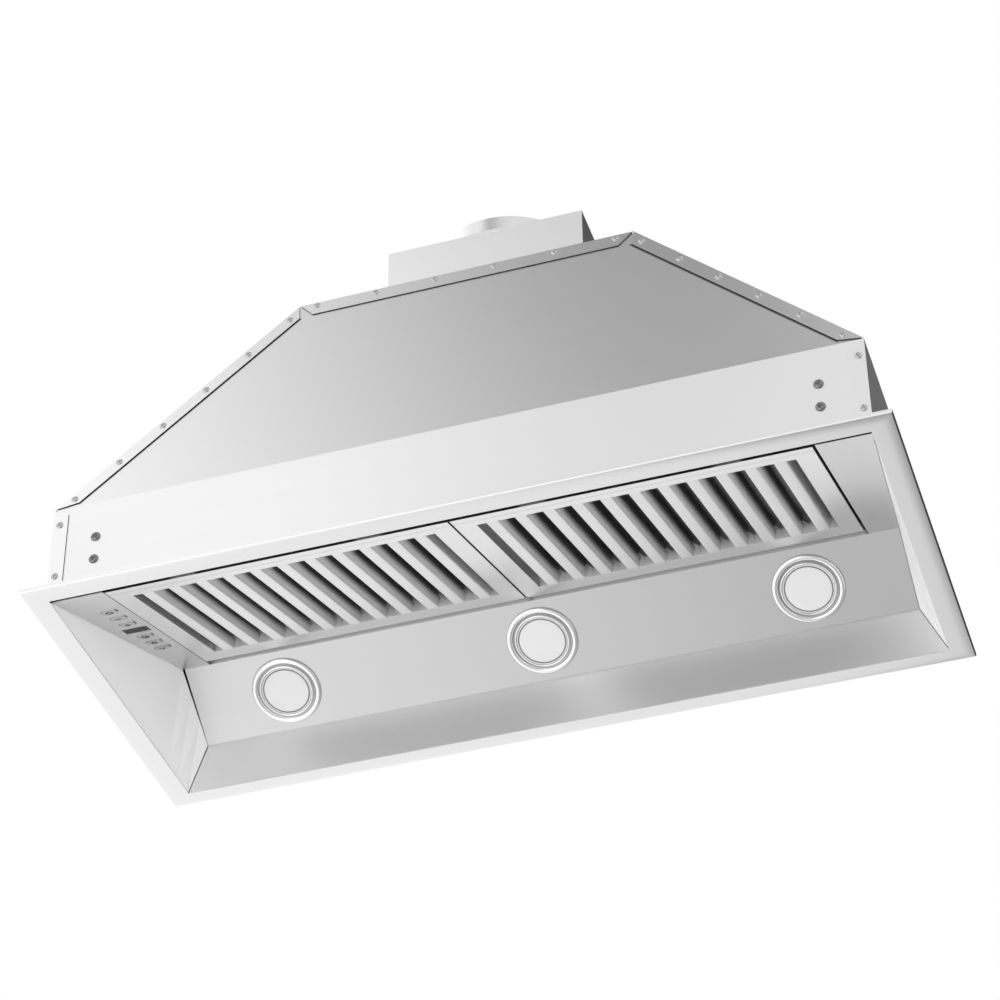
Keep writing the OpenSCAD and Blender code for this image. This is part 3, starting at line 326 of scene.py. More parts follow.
def card(name, corners):
    """A card out of the camera's sight that shines as STUDIO grades it along X."""
    matter, tree, out = new_material(name + "_card")
    place = add(tree, "ShaderNodeTexCoord")
    split = add(tree, "ShaderNodeSeparateXYZ", {0: place.outputs["Object"]})
    level = graded(tree, split.outputs["X"], STUDIO[name])
    glow = add(tree, "ShaderNodeEmission", {"Strength": level})
    tree.links.new(glow.outputs[0], out.inputs["Surface"])
    piece = sheet_between("card_" + name, corners)
    piece.data.materials.append(matter)
    piece.visible_camera = False
    piece.visible_shadow = False


card("above", [(-6, -2.6, 3.4), (5, -2.6, 3.4), (5, 1.2, 3.4), (-6, 1.2, 3.4)])
card("front", [(-6, -4.4, 1.4), (5, -4.4, 1.4), (5, -2.9, 4.6), (-6, -2.9, 4.6)])
card("behind", [(-1.6, 3.4, 0.7), (6, 3.4, 0.7), (6, 3.4, 9), (-1.6, 3.4, 9)])
card("beside", [(1.5, 3.4, -3), (6, 3.4, -3), (6, 3.4, 0.7), (1.5, 3.4, 0.7)])
print("four cards")

# %% [markdown]
# ## Floor
# The recess looks down, so it mirrors the floor. Each of its panels sees another part, and the
# floor has three strips with levels of their own, from the front to the far side.

# %% Floor
floor_matter, tree, out = new_material("pale_floor_paint")
rays = add(tree, "ShaderNodeLightPath")
place = add(tree, "ShaderNodeTexCoord")
split = add(tree, "ShaderNodeSeparateXYZ", {0: place.outputs["Object"]})
glow = graded(tree, split.outputs["X"], STUDIO["floor_mid"])
# the middle strip passes softly into the far one and into the front one between these places
for strip, start, end in (("far", 0.4, 2.6), ("front", -0.9, -2.4)):
    share = add(tree, "ShaderNodeMapRange", {"Value": split.outputs["Y"], "From Min": start,
                                             "From Max": end}, interpolation_type="SMOOTHSTEP")
    level = graded(tree, split.outputs["X"], STUDIO["floor_" + strip])
    glow = add(tree, "ShaderNodeMix", {"Factor": share.outputs["Result"], "A": glow,
                                       "B": level}).outputs["Result"]
shine = add(tree, "ShaderNodeEmission", {"Strength": glow})
paint = add(tree, "ShaderNodeBsdfDiffuse", {"Color": linear("#F2F2F2")})
both = add(tree, "ShaderNodeMixShader", {0: rays.outputs["Is Glossy Ray"], 1: paint.outputs[0],
                                         2: shine.outputs[0]})
side = add(tree, "ShaderNodeNewGeometry")
clear = add(tree, "ShaderNodeBsdfTransparent")
both = add(tree, "ShaderNodeMixShader", {0: side.outputs["Backfacing"], 1: both.outputs[0],
                                         2: clear.outputs[0]})
tree.links.new(both.outputs[0], out.inputs["Surface"])
FLOOR_HALF, FLOOR_Z = 14.0, -3.0
# the four corners of a rectangle about the origin, in turn
CORNERS = np.array([(-1, -1), (1, -1), (1, 1), (-1, 1)])
floor = sheet_between("floor", np.column_stack([CORNERS * FLOOR_HALF, np.full(4, FLOOR_Z)]))
floor.data.materials.append(floor_matter)
print("floor at z =", FLOOR_Z, "m")


# %% [markdown]
# ## Softboxes
# Two wide lamps, one high in front and one low, put a highlight on screws, rings and keys.

# %% Softboxes
def softbox(name, place, target, width, height, watts):
    """A rectangular area light at `place`, turned to `target`."""
    lamp = bpy.data.lights.new(name, "AREA")
    lamp.shape = "RECTANGLE"
    lamp.size, lamp.size_y, lamp.energy = width, height, watts
    piece = bpy.data.objects.new(name, lamp)
    aim = Vector(target) - Vector(place)
    piece.matrix_world = Matrix.Translation(place) @ aim.to_track_quat("-Z", "Y").to_matrix().to_4x4()
    bpy.context.scene.collection.objects.link(piece)


softbox("softbox_front", (-1.3, -4.2, 3.4), (0, -0.1, 0.2), 3.4, 1.6, FRONT_BOX_WATTS)
softbox("softbox_below", (0.6, -2.2, -2.9), (0, 0.0, 0.05), 2.6, 2.0, LOW_BOX_WATTS)
print("two softboxes")

# %% [markdown]
# ## Stainless steel, brushed
# Sheet for hoods is drawn under an abrasive belt, which leaves fine straight scratches. They
# stretch highlights across the scratches and leave faint streaks along them. The streaks are a
# noise pulled out along the brushing and squeezed across it. Real scratches are about 0.05 mm
# apart, too fine to show from here, so the streaks are drawn about 1 mm wide. A picture of
# brushed metal could be wrapped round each sheet instead, but it would repeat and show its seams.

# %% Brushed steel
TANGENT = {"X": (1.0, 0.0, 0.0), "Y": (0.0, 1.0, 0.0), "Z": (0.0, 0.0, 1.0)}
STREAK_WIDTH, STREAK_LENGTH = 1.1 * MM, 160 * MM


def brushed_steel(name, tone, along="X", rough=0.30, depth=0.02, relief=1.0, metal=1.0, marks=()):
    """Cold-rolled stainless sheet, belt-brushed along an axis. Noise is stretched along the brushing
    and squeezed across it. It darkens the tone by up to `depth`, and `relief` scales how far it moves
    the gloss and the height. Each of `marks` is a function of the tree that returns one more shade
    to multiply by."""
    material, tree, out = new_material(name)
    place = add(tree, "ShaderNodeTexCoord")
    scale = tuple(1.0 / (STREAK_LENGTH if axis == along else STREAK_WIDTH) for axis in "XYZ")
    pulled = add(tree, "ShaderNodeMapping", {"Vector": place.outputs["Object"], "Scale": scale})
    streaks = add(tree, "ShaderNodeTexNoise", {"Vector": pulled.outputs[0], "Scale": 1.0,
                                               "Detail": 3.0, "Roughness": 0.6})
    broad = add(tree, "ShaderNodeTexNoise", {"Vector": place.outputs["Object"], "Scale": 3.0,
                                             "Detail": 1.0})
    mixed = add(tree, "ShaderNodeMix", {"Factor": 0.35, "A": streaks.outputs["Fac"],
                                        "B": broad.outputs["Fac"]})
    shade = spread(tree, mixed.outputs["Result"], 1.0 - depth, 1.0)
    for mark in marks:
        shade = add(tree, "ShaderNodeMath", {0: shade, 1: mark(tree)}, operation="MULTIPLY").outputs[0]
    colour = add(tree, "ShaderNodeVectorMath", {0: linear(tone)[:3], 1: shade}, operation="MULTIPLY")
    dull = spread(tree, streaks.outputs["Fac"], rough + 0.02 * relief, rough - 0.02 * relief)
    bump = add(tree, "ShaderNodeBump", {"Height": streaks.outputs["Fac"], "Strength": 0.15 * relief,
                                        "Distance": 0.02 * MM})
    grain = add(tree, "ShaderNodeCombineXYZ", dict(zip("XYZ", TANGENT[along])))
    steel = add(tree, "ShaderNodeBsdfPrincipled", {
        "Base Color": colour.outputs["Vector"], "Metallic": metal, "Roughness": dull,
        "Anisotropic": 0.55, "Normal": bump.outputs["Normal"], "Tangent": grain.outputs[0]})
    tree.links.new(steel.outputs[0], out.inputs["Surface"])
    return material


# %% [markdown]
# ## Painted shade in the slots, and painted shade lines at the folds
# Little light gets between the rows of baffles, but this room is white on all sides, and its
# light alone leaves them too pale. So shade is painted on: the deeper a point lies behind the
# filter's face, the darker its steel is. The depth is a dot product of the place with the filter
# plane's normal, so the painted shade stays with the filter when it swings down. It is weaker
# near the low edge and in the half-width end slots, which open sideways.
# Two lines of painted shade are drawn the same way, by distance: at the end of the filter frames'
# folded hem, and on the front sheet where a slope's flange stands off it.


# %% Depth shade and hem line
def filter_measure(tree, into):
    """Distance in metres into the hood from the filter plane, or else up along its slope."""
    place = add(tree, "ShaderNodeTexCoord")
    c, s = np.cos(FILTER_TILT), np.sin(FILTER_TILT)
    axis = (0.0, -s, c) if into else (0.0, c, s)
    level = add(tree, "ShaderNodeVectorMath", {0: place.outputs["Object"], 1: axis},
                operation="DOT_PRODUCT")
    return add(tree, "ShaderNodeMath", {0: level.outputs["Value"], 1: OPEN_NEAR * axis[1]},
               operation="SUBTRACT").outputs[0]


# distances in mm and the painted shade at each
DEPTH = [(0.0, 1.0), (5.0, 0.95), (10.0, 0.64), (17.0, 0.30), (22.0, 0.15)]
# up the slope, the depth counts in full only from the second of these places
LOW_STRETCH, LOW_SHARE = (37 * MM, 110 * MM), 0.55
# a filter's middle lies this far from the hood's, and its end slots start this far from there
FILTER_MIDDLE, END_SLOT, END_SHARE = 207.7 * MM, (171 * MM, 174 * MM), 0.25
# the fold's end up the slope, half the width of its painted shade line, sharp and faded out
HEM, HEM_LINE, HEM_SHADE = 22 * MM, (0.2 * MM, 1.0 * MM), 0.62


def absolute_from(tree, value, place):
    """How far `value` is from `place`, whichever side it lies on."""
    off = add(tree, "ShaderNodeMath", {0: value, 1: place}, operation="SUBTRACT")
    return add(tree, "ShaderNodeMath", {0: off.outputs[0]}, operation="ABSOLUTE").outputs[0]


def depth_shade(tree):
    """Painted shade: the level of DEPTH at the point's depth. Near the low edge the depth counts by
    LOW_SHARE, and in the end slots by END_SHARE."""
    near = add(tree, "ShaderNodeMapRange", {
        "Value": filter_measure(tree, False), "From Min": LOW_STRETCH[0], "From Max": LOW_STRETCH[1],
        "To Min": LOW_SHARE, "To Max": 1.0}, interpolation_type="SMOOTHSTEP")
    place = add(tree, "ShaderNodeTexCoord")
    split = add(tree, "ShaderNodeSeparateXYZ", {0: place.outputs["Object"]})
    side = absolute_from(tree, absolute_from(tree, split.outputs["X"], 0.0), FILTER_MIDDLE)
    end = spread(tree, side, 1.0, END_SHARE, *END_SLOT)
    deep = filter_measure(tree, True)
    for factor in (near.outputs["Result"], end):
        deep = add(tree, "ShaderNodeMath", {0: deep, 1: factor}, operation="MULTIPLY").outputs[0]
    return graded(tree, deep, [(n * MM, level) for n, level in DEPTH])


def hem_shade_line(tree):
    """The sheet's edge is folded back under: a thin grey line of painted shade where the fold ends."""
    off = absolute_from(tree, filter_measure(tree, False), HEM)
    return spread(tree, off, HEM_SHADE, 1.0, *HEM_LINE)


# the slope's low and high ends, then stops in mm from its edge and along it, with the painted shade
# there
SHELL_X, TOP_X = -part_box("left_side_panel")[0][0], 212.5 * MM
BAND_Z, TOP_Z = 132.0 * MM, 434.0 * MM
SLOPE = np.arctan2(TOP_Z - BAND_Z, SHELL_X - TOP_X)
SLOPE_LENGTH = np.hypot(TOP_Z - BAND_Z, SHELL_X - TOP_X) / MM
SEAM = [(17.7, 1.0), (18.1, 0.24), (19.8, 0.24), (21.4, 1.0)]
SEAM_ENDS = [(21.0, 0.0), (24.0, 1.0), (SLOPE_LENGTH - 17.0, 1.0), (SLOPE_LENGTH - 14.0, 0.0)]


def slope_measure(tree, axis):
    """Distance in metres along `axis` from the low end of the nearer slope, seen from the front."""
    place = add(tree, "ShaderNodeTexCoord")
    split = add(tree, "ShaderNodeSeparateXYZ", {0: place.outputs["Object"]})
    side = absolute_from(tree, split.outputs["X"], 0.0)
    flat = add(tree, "ShaderNodeCombineXYZ", {"X": side, "Z": split.outputs["Z"]})
    level = add(tree, "ShaderNodeVectorMath", {0: flat.outputs[0], 1: axis}, operation="DOT_PRODUCT")
    return add(tree, "ShaderNodeMath", {0: level.outputs["Value"],
                                        1: axis[0] * SHELL_X + axis[2] * BAND_Z},
               operation="SUBTRACT").outputs[0]


def seam_shade(tree):
    """Painted shadow: the front sheet is dark in a line beside the flanges of the slopes, where they
    stand off it.
    """
    inset = slope_measure(tree, (-np.sin(SLOPE), 0.0, -np.cos(SLOPE)))
    along = slope_measure(tree, (-np.cos(SLOPE), 0.0, np.sin(SLOPE)))
    line = graded(tree, inset, [(n * MM, level) for n, level in SEAM])
    reach = graded(tree, along, [(n * MM, level) for n, level in SEAM_ENDS])
    return add(tree, "ShaderNodeMix", {"Factor": reach, "A": 1.0, "B": line}).outputs["Result"]


# All these sheets are one stainless steel. Their tones were set to match how much light each gets: the
# paler recess walls carry painted light, and the darker panels and filter frames painted shade.
STEELS = {
    # the front sheet carries the painted shadow beside the slopes' flanges
    "front": brushed_steel("stainless_belt_brushed_front", "#EEEEEE", "X", marks=[seam_shade]),
    "shell": brushed_steel("stainless_belt_brushed_shell", "#EEEEEE", "X"),
    # the rim is brushed last and finest, so it looks smooth
    "rim": brushed_steel("stainless_belt_brushed_rim", "#EEEEEE", "X", rough=0.28, depth=0.01,
                         relief=0.25),
    "side": brushed_steel("stainless_belt_brushed_ends", "#F0F0F0", "Y"),
    "liner": brushed_steel("stainless_belt_brushed_recess", "#FAFAFA", "X", rough=0.34),
    # the end walls are bead blasted: they scatter light as paper does, so little of them mirrors
    "end wall": brushed_steel("stainless_bead_blasted_end_walls", "#FCFCFC", "Y", rough=0.5,
                              relief=0.3, metal=0.1),
    "panel": brushed_steel("stainless_belt_brushed_panels", "#DADADA", "X", rough=0.33),
    "filter": brushed_steel("stainless_belt_brushed_filter_frame", "#E8E8E8", "X", depth=0.01,
                            relief=0.3, marks=[hem_shade_line]),
    # rolls flatten the scratches: soft, broad highlights along each bend
    # depth_shade darkens the baffles' tone into the slots: painted shade
    "baffle": brushed_steel("stainless_rolled_baffle", "#F0F0F0", "Y", rough=0.38, depth=0.01,
                            relief=0.4, marks=[depth_shade]),
    "collar": brushed_steel("stainless_rolled_collar", "#E6E6E6", "Z", rough=0.28, relief=0.3),
}
print("brushed finishes:", ", ".join(STEELS))

# %% [markdown]
# ## The other finishes
# Inside, hoods use galvanised sheet: zinc freezes into patches, or spangles, some 10 mm across,
# each with its own grey. A Voronoi pattern gives every patch one value. Die-cast and mill-finish
# aluminium are duller and even. Plastics are coloured right through, so only their gloss varies.


# %% Galvanised sheet, aluminium and enamel
GRAIN, GRAIN_HEIGHT, SPANGLE = 0.6 * MM, 0.05 * MM, 9 * MM


def galvanised(name, tone):
    """Hot-dip galvanised sheet: Voronoi cells 9 mm wide, each with its own grey and gloss."""
    material, tree, out = new_material(name)
    place = add(tree, "ShaderNodeTexCoord")
    spangle = add(tree, "ShaderNodeTexVoronoi", {"Vector": place.outputs["Object"],
                                                 "Scale": 1.0 / SPANGLE})
    grey = add(tree, "ShaderNodeSeparateColor", {"Color": spangle.outputs["Color"]})
    shade = spread(tree, grey.outputs[0], 0.82, 1.0, 0.0, 1.0)
    colour = add(tree, "ShaderNodeVectorMath", {0: linear(tone)[:3], 1: shade}, operation="MULTIPLY")
    dull = spread(tree, grey.outputs[1], 0.34, 0.46, 0.0, 1.0)
    zinc = add(tree, "ShaderNodeBsdfPrincipled", {"Base Color": colour.outputs["Vector"],
                                                  "Metallic": 1.0, "Roughness": dull})
    tree.links.new(zinc.outputs[0], out.inputs["Surface"])
    return material


def grained(name, tone, metallic, rough, depth=0.06, **sockets):
    """A moulded, cast or turned surface: fine even noise varies its colour, gloss and height."""
    material, tree, out = new_material(name)
    place = add(tree, "ShaderNodeTexCoord")
    noise = add(tree, "ShaderNodeTexNoise", {"Vector": place.outputs["Object"], "Scale": 1.0 / GRAIN,
                                             "Detail": 2.0})
    shade = spread(tree, noise.outputs["Fac"], 1.0 - depth, 1.0)
    colour = add(tree, "ShaderNodeVectorMath", {0: linear(tone)[:3], 1: shade}, operation="MULTIPLY")
    dull = spread(tree, noise.outputs["Fac"], rough - 0.03, rough + 0.03)
    bump = add(tree, "ShaderNodeBump", {"Height": noise.outputs["Fac"], "Strength": 0.3,
                                        "Distance": GRAIN_HEIGHT})
    body = add(tree, "ShaderNodeBsdfPrincipled", {
        "Base Color": colour.outputs["Vector"], "Metallic": metallic, "Roughness": dull,
        "Normal": bump.outputs["Normal"], **sockets})
    tree.links.new(body.outputs[0], out.inputs["Surface"])
    return material


# zinc frozen in patches: a blotchy, bluish grey
GALVANISED = galvanised("zinc_hot_dipped_sheet", "#B9BEC2")
# bead blasting leaves fine dents that scatter light, so these small tabs look nearly white
TAB = grained("stainless_bead_blasted_tab", "#D2D2D2", 0.25, 0.55)
# a shear leaves a torn face that mirrors nothing, and the near-black tone is also painted shadow
# from the gap under each flange: the flanges' edges are dark lines
SHEARED_EDGE_AND_SHADOW = grained("stainless_sheared_edge_painted_shadow", "#2C2C2E", 0.0, 0.60)
# rolled and tempered strip keeps a thin oxide, which darkens it
SPRING = grained("spring_steel_rolled", "#8E8E90", 1.0, 0.35)
# bright plating is smooth: small sharp highlights on the screws
ZINC = grained("zinc_bright_plated_screw", "#C4C4C4", 1.0, 0.22)
DARK_ZINC = grained("zinc_dark_plated_screw", "#8C8C8E", 1.0, 0.30)
# a turned and ground shaft is as smooth as the plating
TURNED = grained("steel_turned_shaft", "#BDBDC0", 1.0, 0.22)
# sheet as it leaves the mill: pale and even, with a broad soft shine
MILL = grained("aluminium_mill_sheet", "#D5D6D8", 1.0, 0.36)
# casting skin is duller than sheet
CAST = grained("aluminium_die_cast", "#BFC0C3", 1.0, 0.45)
# the satin groove is grey between two polished beads, which shine white: its grey is painted shade
SATIN_GROOVE_SHADE = grained("aluminium_satin_groove_painted_shade", "#B4B4B4", 1.0, 0.36)
BEAD = grained("aluminium_polished_bead", "#FBFBFB", 1.0, 0.14)
# frosted acrylic scatters light inside: an even white, with the moulded step greyer as painted shade
LENS_STEP_SHADE = grained("acrylic_moulded_step_painted_shade", "#8C8C8C", 0.0, 0.40, IOR=1.49)
LENS_MATTER = grained("acrylic_frosted_lens", "#E6E6E6", 0.0, 0.38, depth=0.02, IOR=1.49)
# a satin cap, nearly the tone of the panel round it
KEY_MATTER = grained("aluminium_satin_key", "#CACACA", 1.0, 0.36)
# printed ink is matt and nearly black
MARK = grained("silk_screened_dark_ink", "#2A2A2C", 0.0, 0.5)
# smoked acrylic lets little light back out
WINDOW = grained("acrylic_smoked_window", "#08080A", 0.0, 0.22, depth=0.0, IOR=1.49,
                 **{"Specular IOR Level": 0.15})
# hidden parts: a lacquered board, moulded plastics and a dipped enamel
BOARD = grained("epoxy_board_green", "#1C5A34", 0.0, 0.35)
BLACK = grained("abs_black_moulded", "#202022", 0.0, 0.45)
CASE = grained("abs_white_moulded", "#E4E3DE", 0.0, 0.40)
ENAMEL = grained("motor_enamel_dark", "#3A3B3E", 0.0, 0.30)
print("other finishes ready")

# %% [markdown]
# ## Which piece has which finish
# Each CAD node already carries a slot from the record. Its material there is swapped for the
# finish of the real piece.

# %% Give the nodes their finishes
FINISH = {
    STEELS["rim"]: ["trim_flange"],
    STEELS["front"]: ["front_panel"],
    STEELS["shell"]: ["back_panel", "blower_box"],
    STEELS["side"]: ["left_side_panel", "right_side_panel", "top_panel"],
    STEELS["liner"]: ["rear_liner_wall"],
    STEELS["end wall"]: ["left_liner_wall", "right_liner_wall"],
    STEELS["panel"]: ["light_panel", "control_panel", "blank_panel"],
    STEELS["filter"]: ["left_filter_frame", "right_filter_frame"],
    STEELS["baffle"]: [f"{side}_filter_{row}_baffles" for side in ("left", "right")
                       for row in ("front", "rear")],
    STEELS["collar"]: ["duct_collar"],
    GALVANISED: ["left_bracket", "right_bracket", "scroll_band", "left_scroll_plate",
                 "right_scroll_plate", "blower_wheel", "motor_bracket", "junction_box",
                 "junction_cover"],
    SPRING: ["filter_catches"],
    ZINC: ["seam_screws", "box_screws"],
    DARK_ZINC: ["band_screws"],
    TURNED: ["damper_pin", "motor_shaft"],
    MILL: ["front_damper_flap", "rear_damper_flap"],
    CAST: [f"{place}_lamp_can" for place in ("left", "middle", "right")],
    BEAD: [f"{place}_lamp_trim" for place in ("left", "middle", "right")],
    LENS_MATTER: [f"{place}_lamp_lens" for place in ("left", "middle", "right")],
    KEY_MATTER: [f"key_{i}" for i in range(1, 7)],
    WINDOW: ["display_window"],
    BOARD: ["control_board"],
    BLACK: ["control_housing"],
    CASE: ["lamp_driver"],
    ENAMEL: ["blower_motor"],
}
for material, names in FINISH.items():
    for name in names:
        for holder in frame["nodes"][name].material_slots:
            holder.material = material
dressed = {name for names in FINISH.values() for name in names}
print("nodes without a finish:", sorted(set(frame["nodes"]) - dressed))

# %% [markdown]
# ## The trim rim
# The rim is one sheet round the opening: a flat that bears the finish, a soft shoulder where the
# press starts to turn it, and a bend up into a narrow lip. A plain solid has a knife edge there,
# and the light line of the lip and the grey of the shoulder would be lost. A Bevel modifier
# rounds an edge by one radius, and here a wide shoulder runs into a tight bend. So the section is
# worked out as arcs and carried round the four corners.

# %% Rim section and sweep
RIM_X, RIM_Y, SHEET = 508.0 * MM, 234.0 * MM, 1.2 * MM
SHOULDER_IN, SHOULDER_R, BEND_R, LIP = 13.0 * MM, 46.3 * MM, 2.37 * MM, 6.5 * MM
soft = np.radians(np.linspace(0.0, 14.0, 6))
tight = np.radians(np.linspace(14.0, 90.0, 9))[1:]
# distance in from the outer edge and height, along the flat, the shoulder, the bend and the lip
inward = np.concatenate([SHOULDER_IN - SHOULDER_R * np.sin(soft),
                         BEND_R * (1.0 - np.sin(tight)), [0.0]])
shoulder_top = SHOULDER_R * (1.0 - np.cos(soft[-1]))
height = np.concatenate([SHOULDER_R * (1.0 - np.cos(soft)),
                         shoulder_top + BEND_R * (np.cos(soft[-1]) - np.cos(tight)), [LIP]])
lean = np.concatenate([soft, tight, [np.pi / 2]])
under = np.stack([inward, height], axis=-1)
over = np.stack([inward + SHEET * np.sin(lean), np.minimum(height + SHEET * np.cos(lean), LIP)],
                axis=-1)
loop = np.concatenate([under, over[::-1]])
outer = CORNERS * (RIM_X, RIM_Y)
inner = np.array([(-OPEN_X, OPEN_NEAR), (OPEN_X, OPEN_NEAR), (OPEN_X, OPEN_FAR), (-OPEN_X, OPEN_FAR)])
edge = [np.concatenate([[[*inner[i], 0.0]],
                        np.column_stack([outer[i] - CORNERS[i] * loop[:, :1], loop[:, 1]]),
                        [[*inner[i], SHEET]]]) for i in range(4)]
rim = mesh_piece("rolled_trim_rim", np.array(edge), grid_faces(4, len(loop) + 2, True, True))
rim.data.materials.append(STEELS["rim"])
stands_for(rim, "trim_flange")
print("rim:", len(rim.data.vertices), "points")

# %% [markdown]
# ## Front baffles
# A baffle is a strip rolled into a channel: a flat with two flared legs. Its two bends catch a
# soft light along their whole length, so they are drawn as arcs. Both sides of the sheet are
# drawn, and the far ends carry the small folded tabs that close the slots. A curve with a bevel
# object could draw one channel, but an array of points draws all eleven of a filter at once.


# %% Channels and tabs
def bars(outer, inner, ends, places):
    """Sheet strips: the section between two (x, into) lines in mm, carried up the slope from one of
    `ends` to the other, once for each x of `places`."""
    loop = np.concatenate([outer, inner[::-1]])
    n = len(outer)
    points = np.zeros((len(places), 2, 2 * n, 3))
    points[..., 0] = loop[:, 0] + np.asarray(places)[:, None, None]
    points[..., 1] = np.asarray(ends)[None, :, None]
    points[..., 2] = loop[:, 1]
    k = np.arange(2 * n)
    side = np.stack([k, (k + 1) % (2 * n), (k + 1) % (2 * n) + 2 * n, k + 2 * n], axis=-1)
    k = np.arange(n - 1)
    cap = np.stack([k, k + 1, 2 * n - 2 - k, 2 * n - 1 - k], axis=-1)
    faces = np.concatenate([side, cap, cap + 2 * n])
    faces = faces + (np.arange(len(places)) * 4 * n)[:, None, None]
    return points.reshape(-1, 3) * MM, faces.reshape(-1, 4)


# a baffle in mm: half its flat, a leg's run and rise, the sheet's thickness and the outer bend
HALF_FLAT, LEG_RUN, LEG_RISE, THICK, BEND_OUT = 7.0, 3.5, 10.5, 0.8, 2.0
FLARE = np.arctan2(LEG_RUN, LEG_RISE)
TIP = HALF_FLAT + LEG_RUN
# each filter's left edge, its first baffle from there, their pitch and number, and their two ends
FILTER_START = {"left": -415.5, "right": -0.1}
FIRST, PITCH, COUNT, ROW_ENDS = 41.5, 33.0, 11, (37.0, 291.5)
# a folded tab: where its foot lies at the filter's face, and how far in its slanted top reaches
TAB_FOOT, TAB_TOP = [(6.2, 0.0), (16.325, 0.0)], [(6.2, 20.0), (16.325, 11.0)]


def channel(radius, tip):
    """Half flat, arc and leg, mirrored: the arc has `radius` about a centre that both faces of the
    sheet share, and the leg ends at x = `tip`."""
    arc = np.linspace(-np.pi / 2, -FLARE, 7)
    middle = HALF_FLAT - BEND_OUT * np.tan((np.pi / 2 - FLARE) / 2)
    right = np.stack([middle + radius * np.cos(arc), BEND_OUT + radius * np.sin(arc)], axis=-1)
    right = np.concatenate([right, [[tip, LEG_RISE]]])
    return np.concatenate([right[::-1] * (-1, 1), right])


skin, lining = channel(BEND_OUT, TIP), channel(BEND_OUT - THICK, TIP - THICK / np.cos(FLARE))
for side, start in FILTER_START.items():
    centres = start + FIRST + PITCH * np.arange(COUNT)
    strips, strip_faces = bars(skin, lining, ROW_ENDS, centres)
    points, faces, marks = [strips], [strip_faces], [np.zeros(len(strip_faces))]
    for turn in (-1, 1):
        foot, top = np.array(TAB_FOOT) * (turn, 1), np.array(TAB_TOP) * (turn, 1)
        tab, tab_faces = bars(foot, top, (ROW_ENDS[1] - THICK, ROW_ENDS[1]), centres)
        faces.append(tab_faces + sum(len(p) for p in points))
        points.append(tab)
        marks.append(np.ones(len(tab_faces)))
    node = f"{side}_filter_front_baffles"
    baffles = mesh_piece(f"{side}_rolled_baffles", on_filter_plane(np.concatenate(points)),
                         np.concatenate(faces), np.concatenate(marks))
    baffles.data.materials.append(STEELS["baffle"])
    baffles.data.materials.append(TAB)
    stands_for(baffles, node)
    low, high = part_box(node)
    off = np.array(baffles.bound_box)[[0, 6]] - np.array([low, high])
    print(node, "box differs by", round(float(np.abs(off).max()) * 1000, 3), "mm")

# %% [markdown]
# ## Lamps
# Each lamp is a spun trim with two rolled beads and a satin groove between them, round a frosted
# lens with a moulded step at its edge. Everything is round, so each is one profile turned about
# the lamp's axis. A Screw modifier could turn it, but on a grid of points each step of the
# profile has its own finish. The beads are polished and the groove is not, and the grey of the
# groove and of the lens step is painted shade. This gives the light and grey rings that the eye
# reads first.


# %% Turned trims and lenses
def turned_piece(profile, zones, closed, columns=96):
    """A (radius, into) profile in mm turned about an axis: each point becomes a ring of columns, at
    (r cos a, r sin a). zones gives the material of each step of the profile."""
    profile = np.asarray(profile, float)
    turn = np.linspace(0.0, 2 * np.pi, columns, endpoint=False)
    r, n = profile[:, :1], profile[:, 1:]
    points = np.stack([r * np.cos(turn), r * np.sin(turn), np.repeat(n, columns, axis=1)], axis=-1) * MM
    return points, grid_faces(len(profile), columns, closed, True), np.repeat(zones, columns)


def bow(x, n, width, rise, start, end, steps):
    """Points of an ellipse about (x, n), from start to end degrees; -90 is the proud side."""
    turn = np.radians(np.linspace(start, end, steps))
    return np.stack([x + width * np.cos(turn), n + rise * np.sin(turn)], axis=-1)


LAMP_PLACES, LAMP_DOWN = {"left": -331.0, "middle": 0.0, "right": 331.0}, 53.18
outer_bead = bow(40.1, -0.5, 3.4, 2.5, 0.0, -170.0, 16)
inner_bead = bow(32.65, -1.2, 1.35, 1.8, 0.0, -180.0, 12)
trim_profile = np.concatenate([[[44.0, 0.0], [44.0, -0.5]], outer_bead,
                               [[36.4, -0.7], [34.3, -0.7]], inner_bead, [[31.3, 0.0]]])
# the beads are zone 0; the trim's flank and the groove between the beads are zone 1: painted shade
trim_zones = np.zeros(len(trim_profile), int)
trim_zones[:2] = 1
trim_zones[len(outer_bead) + 1:len(outer_bead) + 4] = 1
# the lens is flat out to a moulded step, 28 to 30 mm from its middle, which is zone 1: painted shade
lens_profile = [(0, -2.2), (14, -2.2), (27.2, -2.2), (27.9, -2.0), (28.2, -1.2), (29.4, -1.2),
                (29.7, -2.0), (31, -2.0), (31, 0.8), (0, 0.8)]
lens_zones = np.array([0, 0, 0, 1, 1, 1, 0, 0, 0])
for place, x in LAMP_PLACES.items():
    for part, profile, zones, closed, finishes in (
            ("trim", trim_profile, trim_zones, True, (BEAD, SATIN_GROOVE_SHADE)),
            ("lens", lens_profile, lens_zones, False, (LENS_MATTER, LENS_STEP_SHADE))):
        node = f"{place}_lamp_{part}"
        points, faces, marks = turned_piece(profile, zones, closed)
        at = on_light_panel(points + np.array([x, LAMP_DOWN, 0.0]) * MM)
        piece = mesh_piece(f"{place}_turned_{part}", at, faces, marks, corner=40.0)
        for finish in finishes:
            piece.data.materials.append(finish)
        stands_for(piece, node)
        middle = np.array(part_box(node)).mean(axis=0)
        off = np.array(piece.bound_box)[[0, 6]].mean(axis=0) - middle
        print(node, "centre differs by", np.round(off * 1000, 2), "mm")

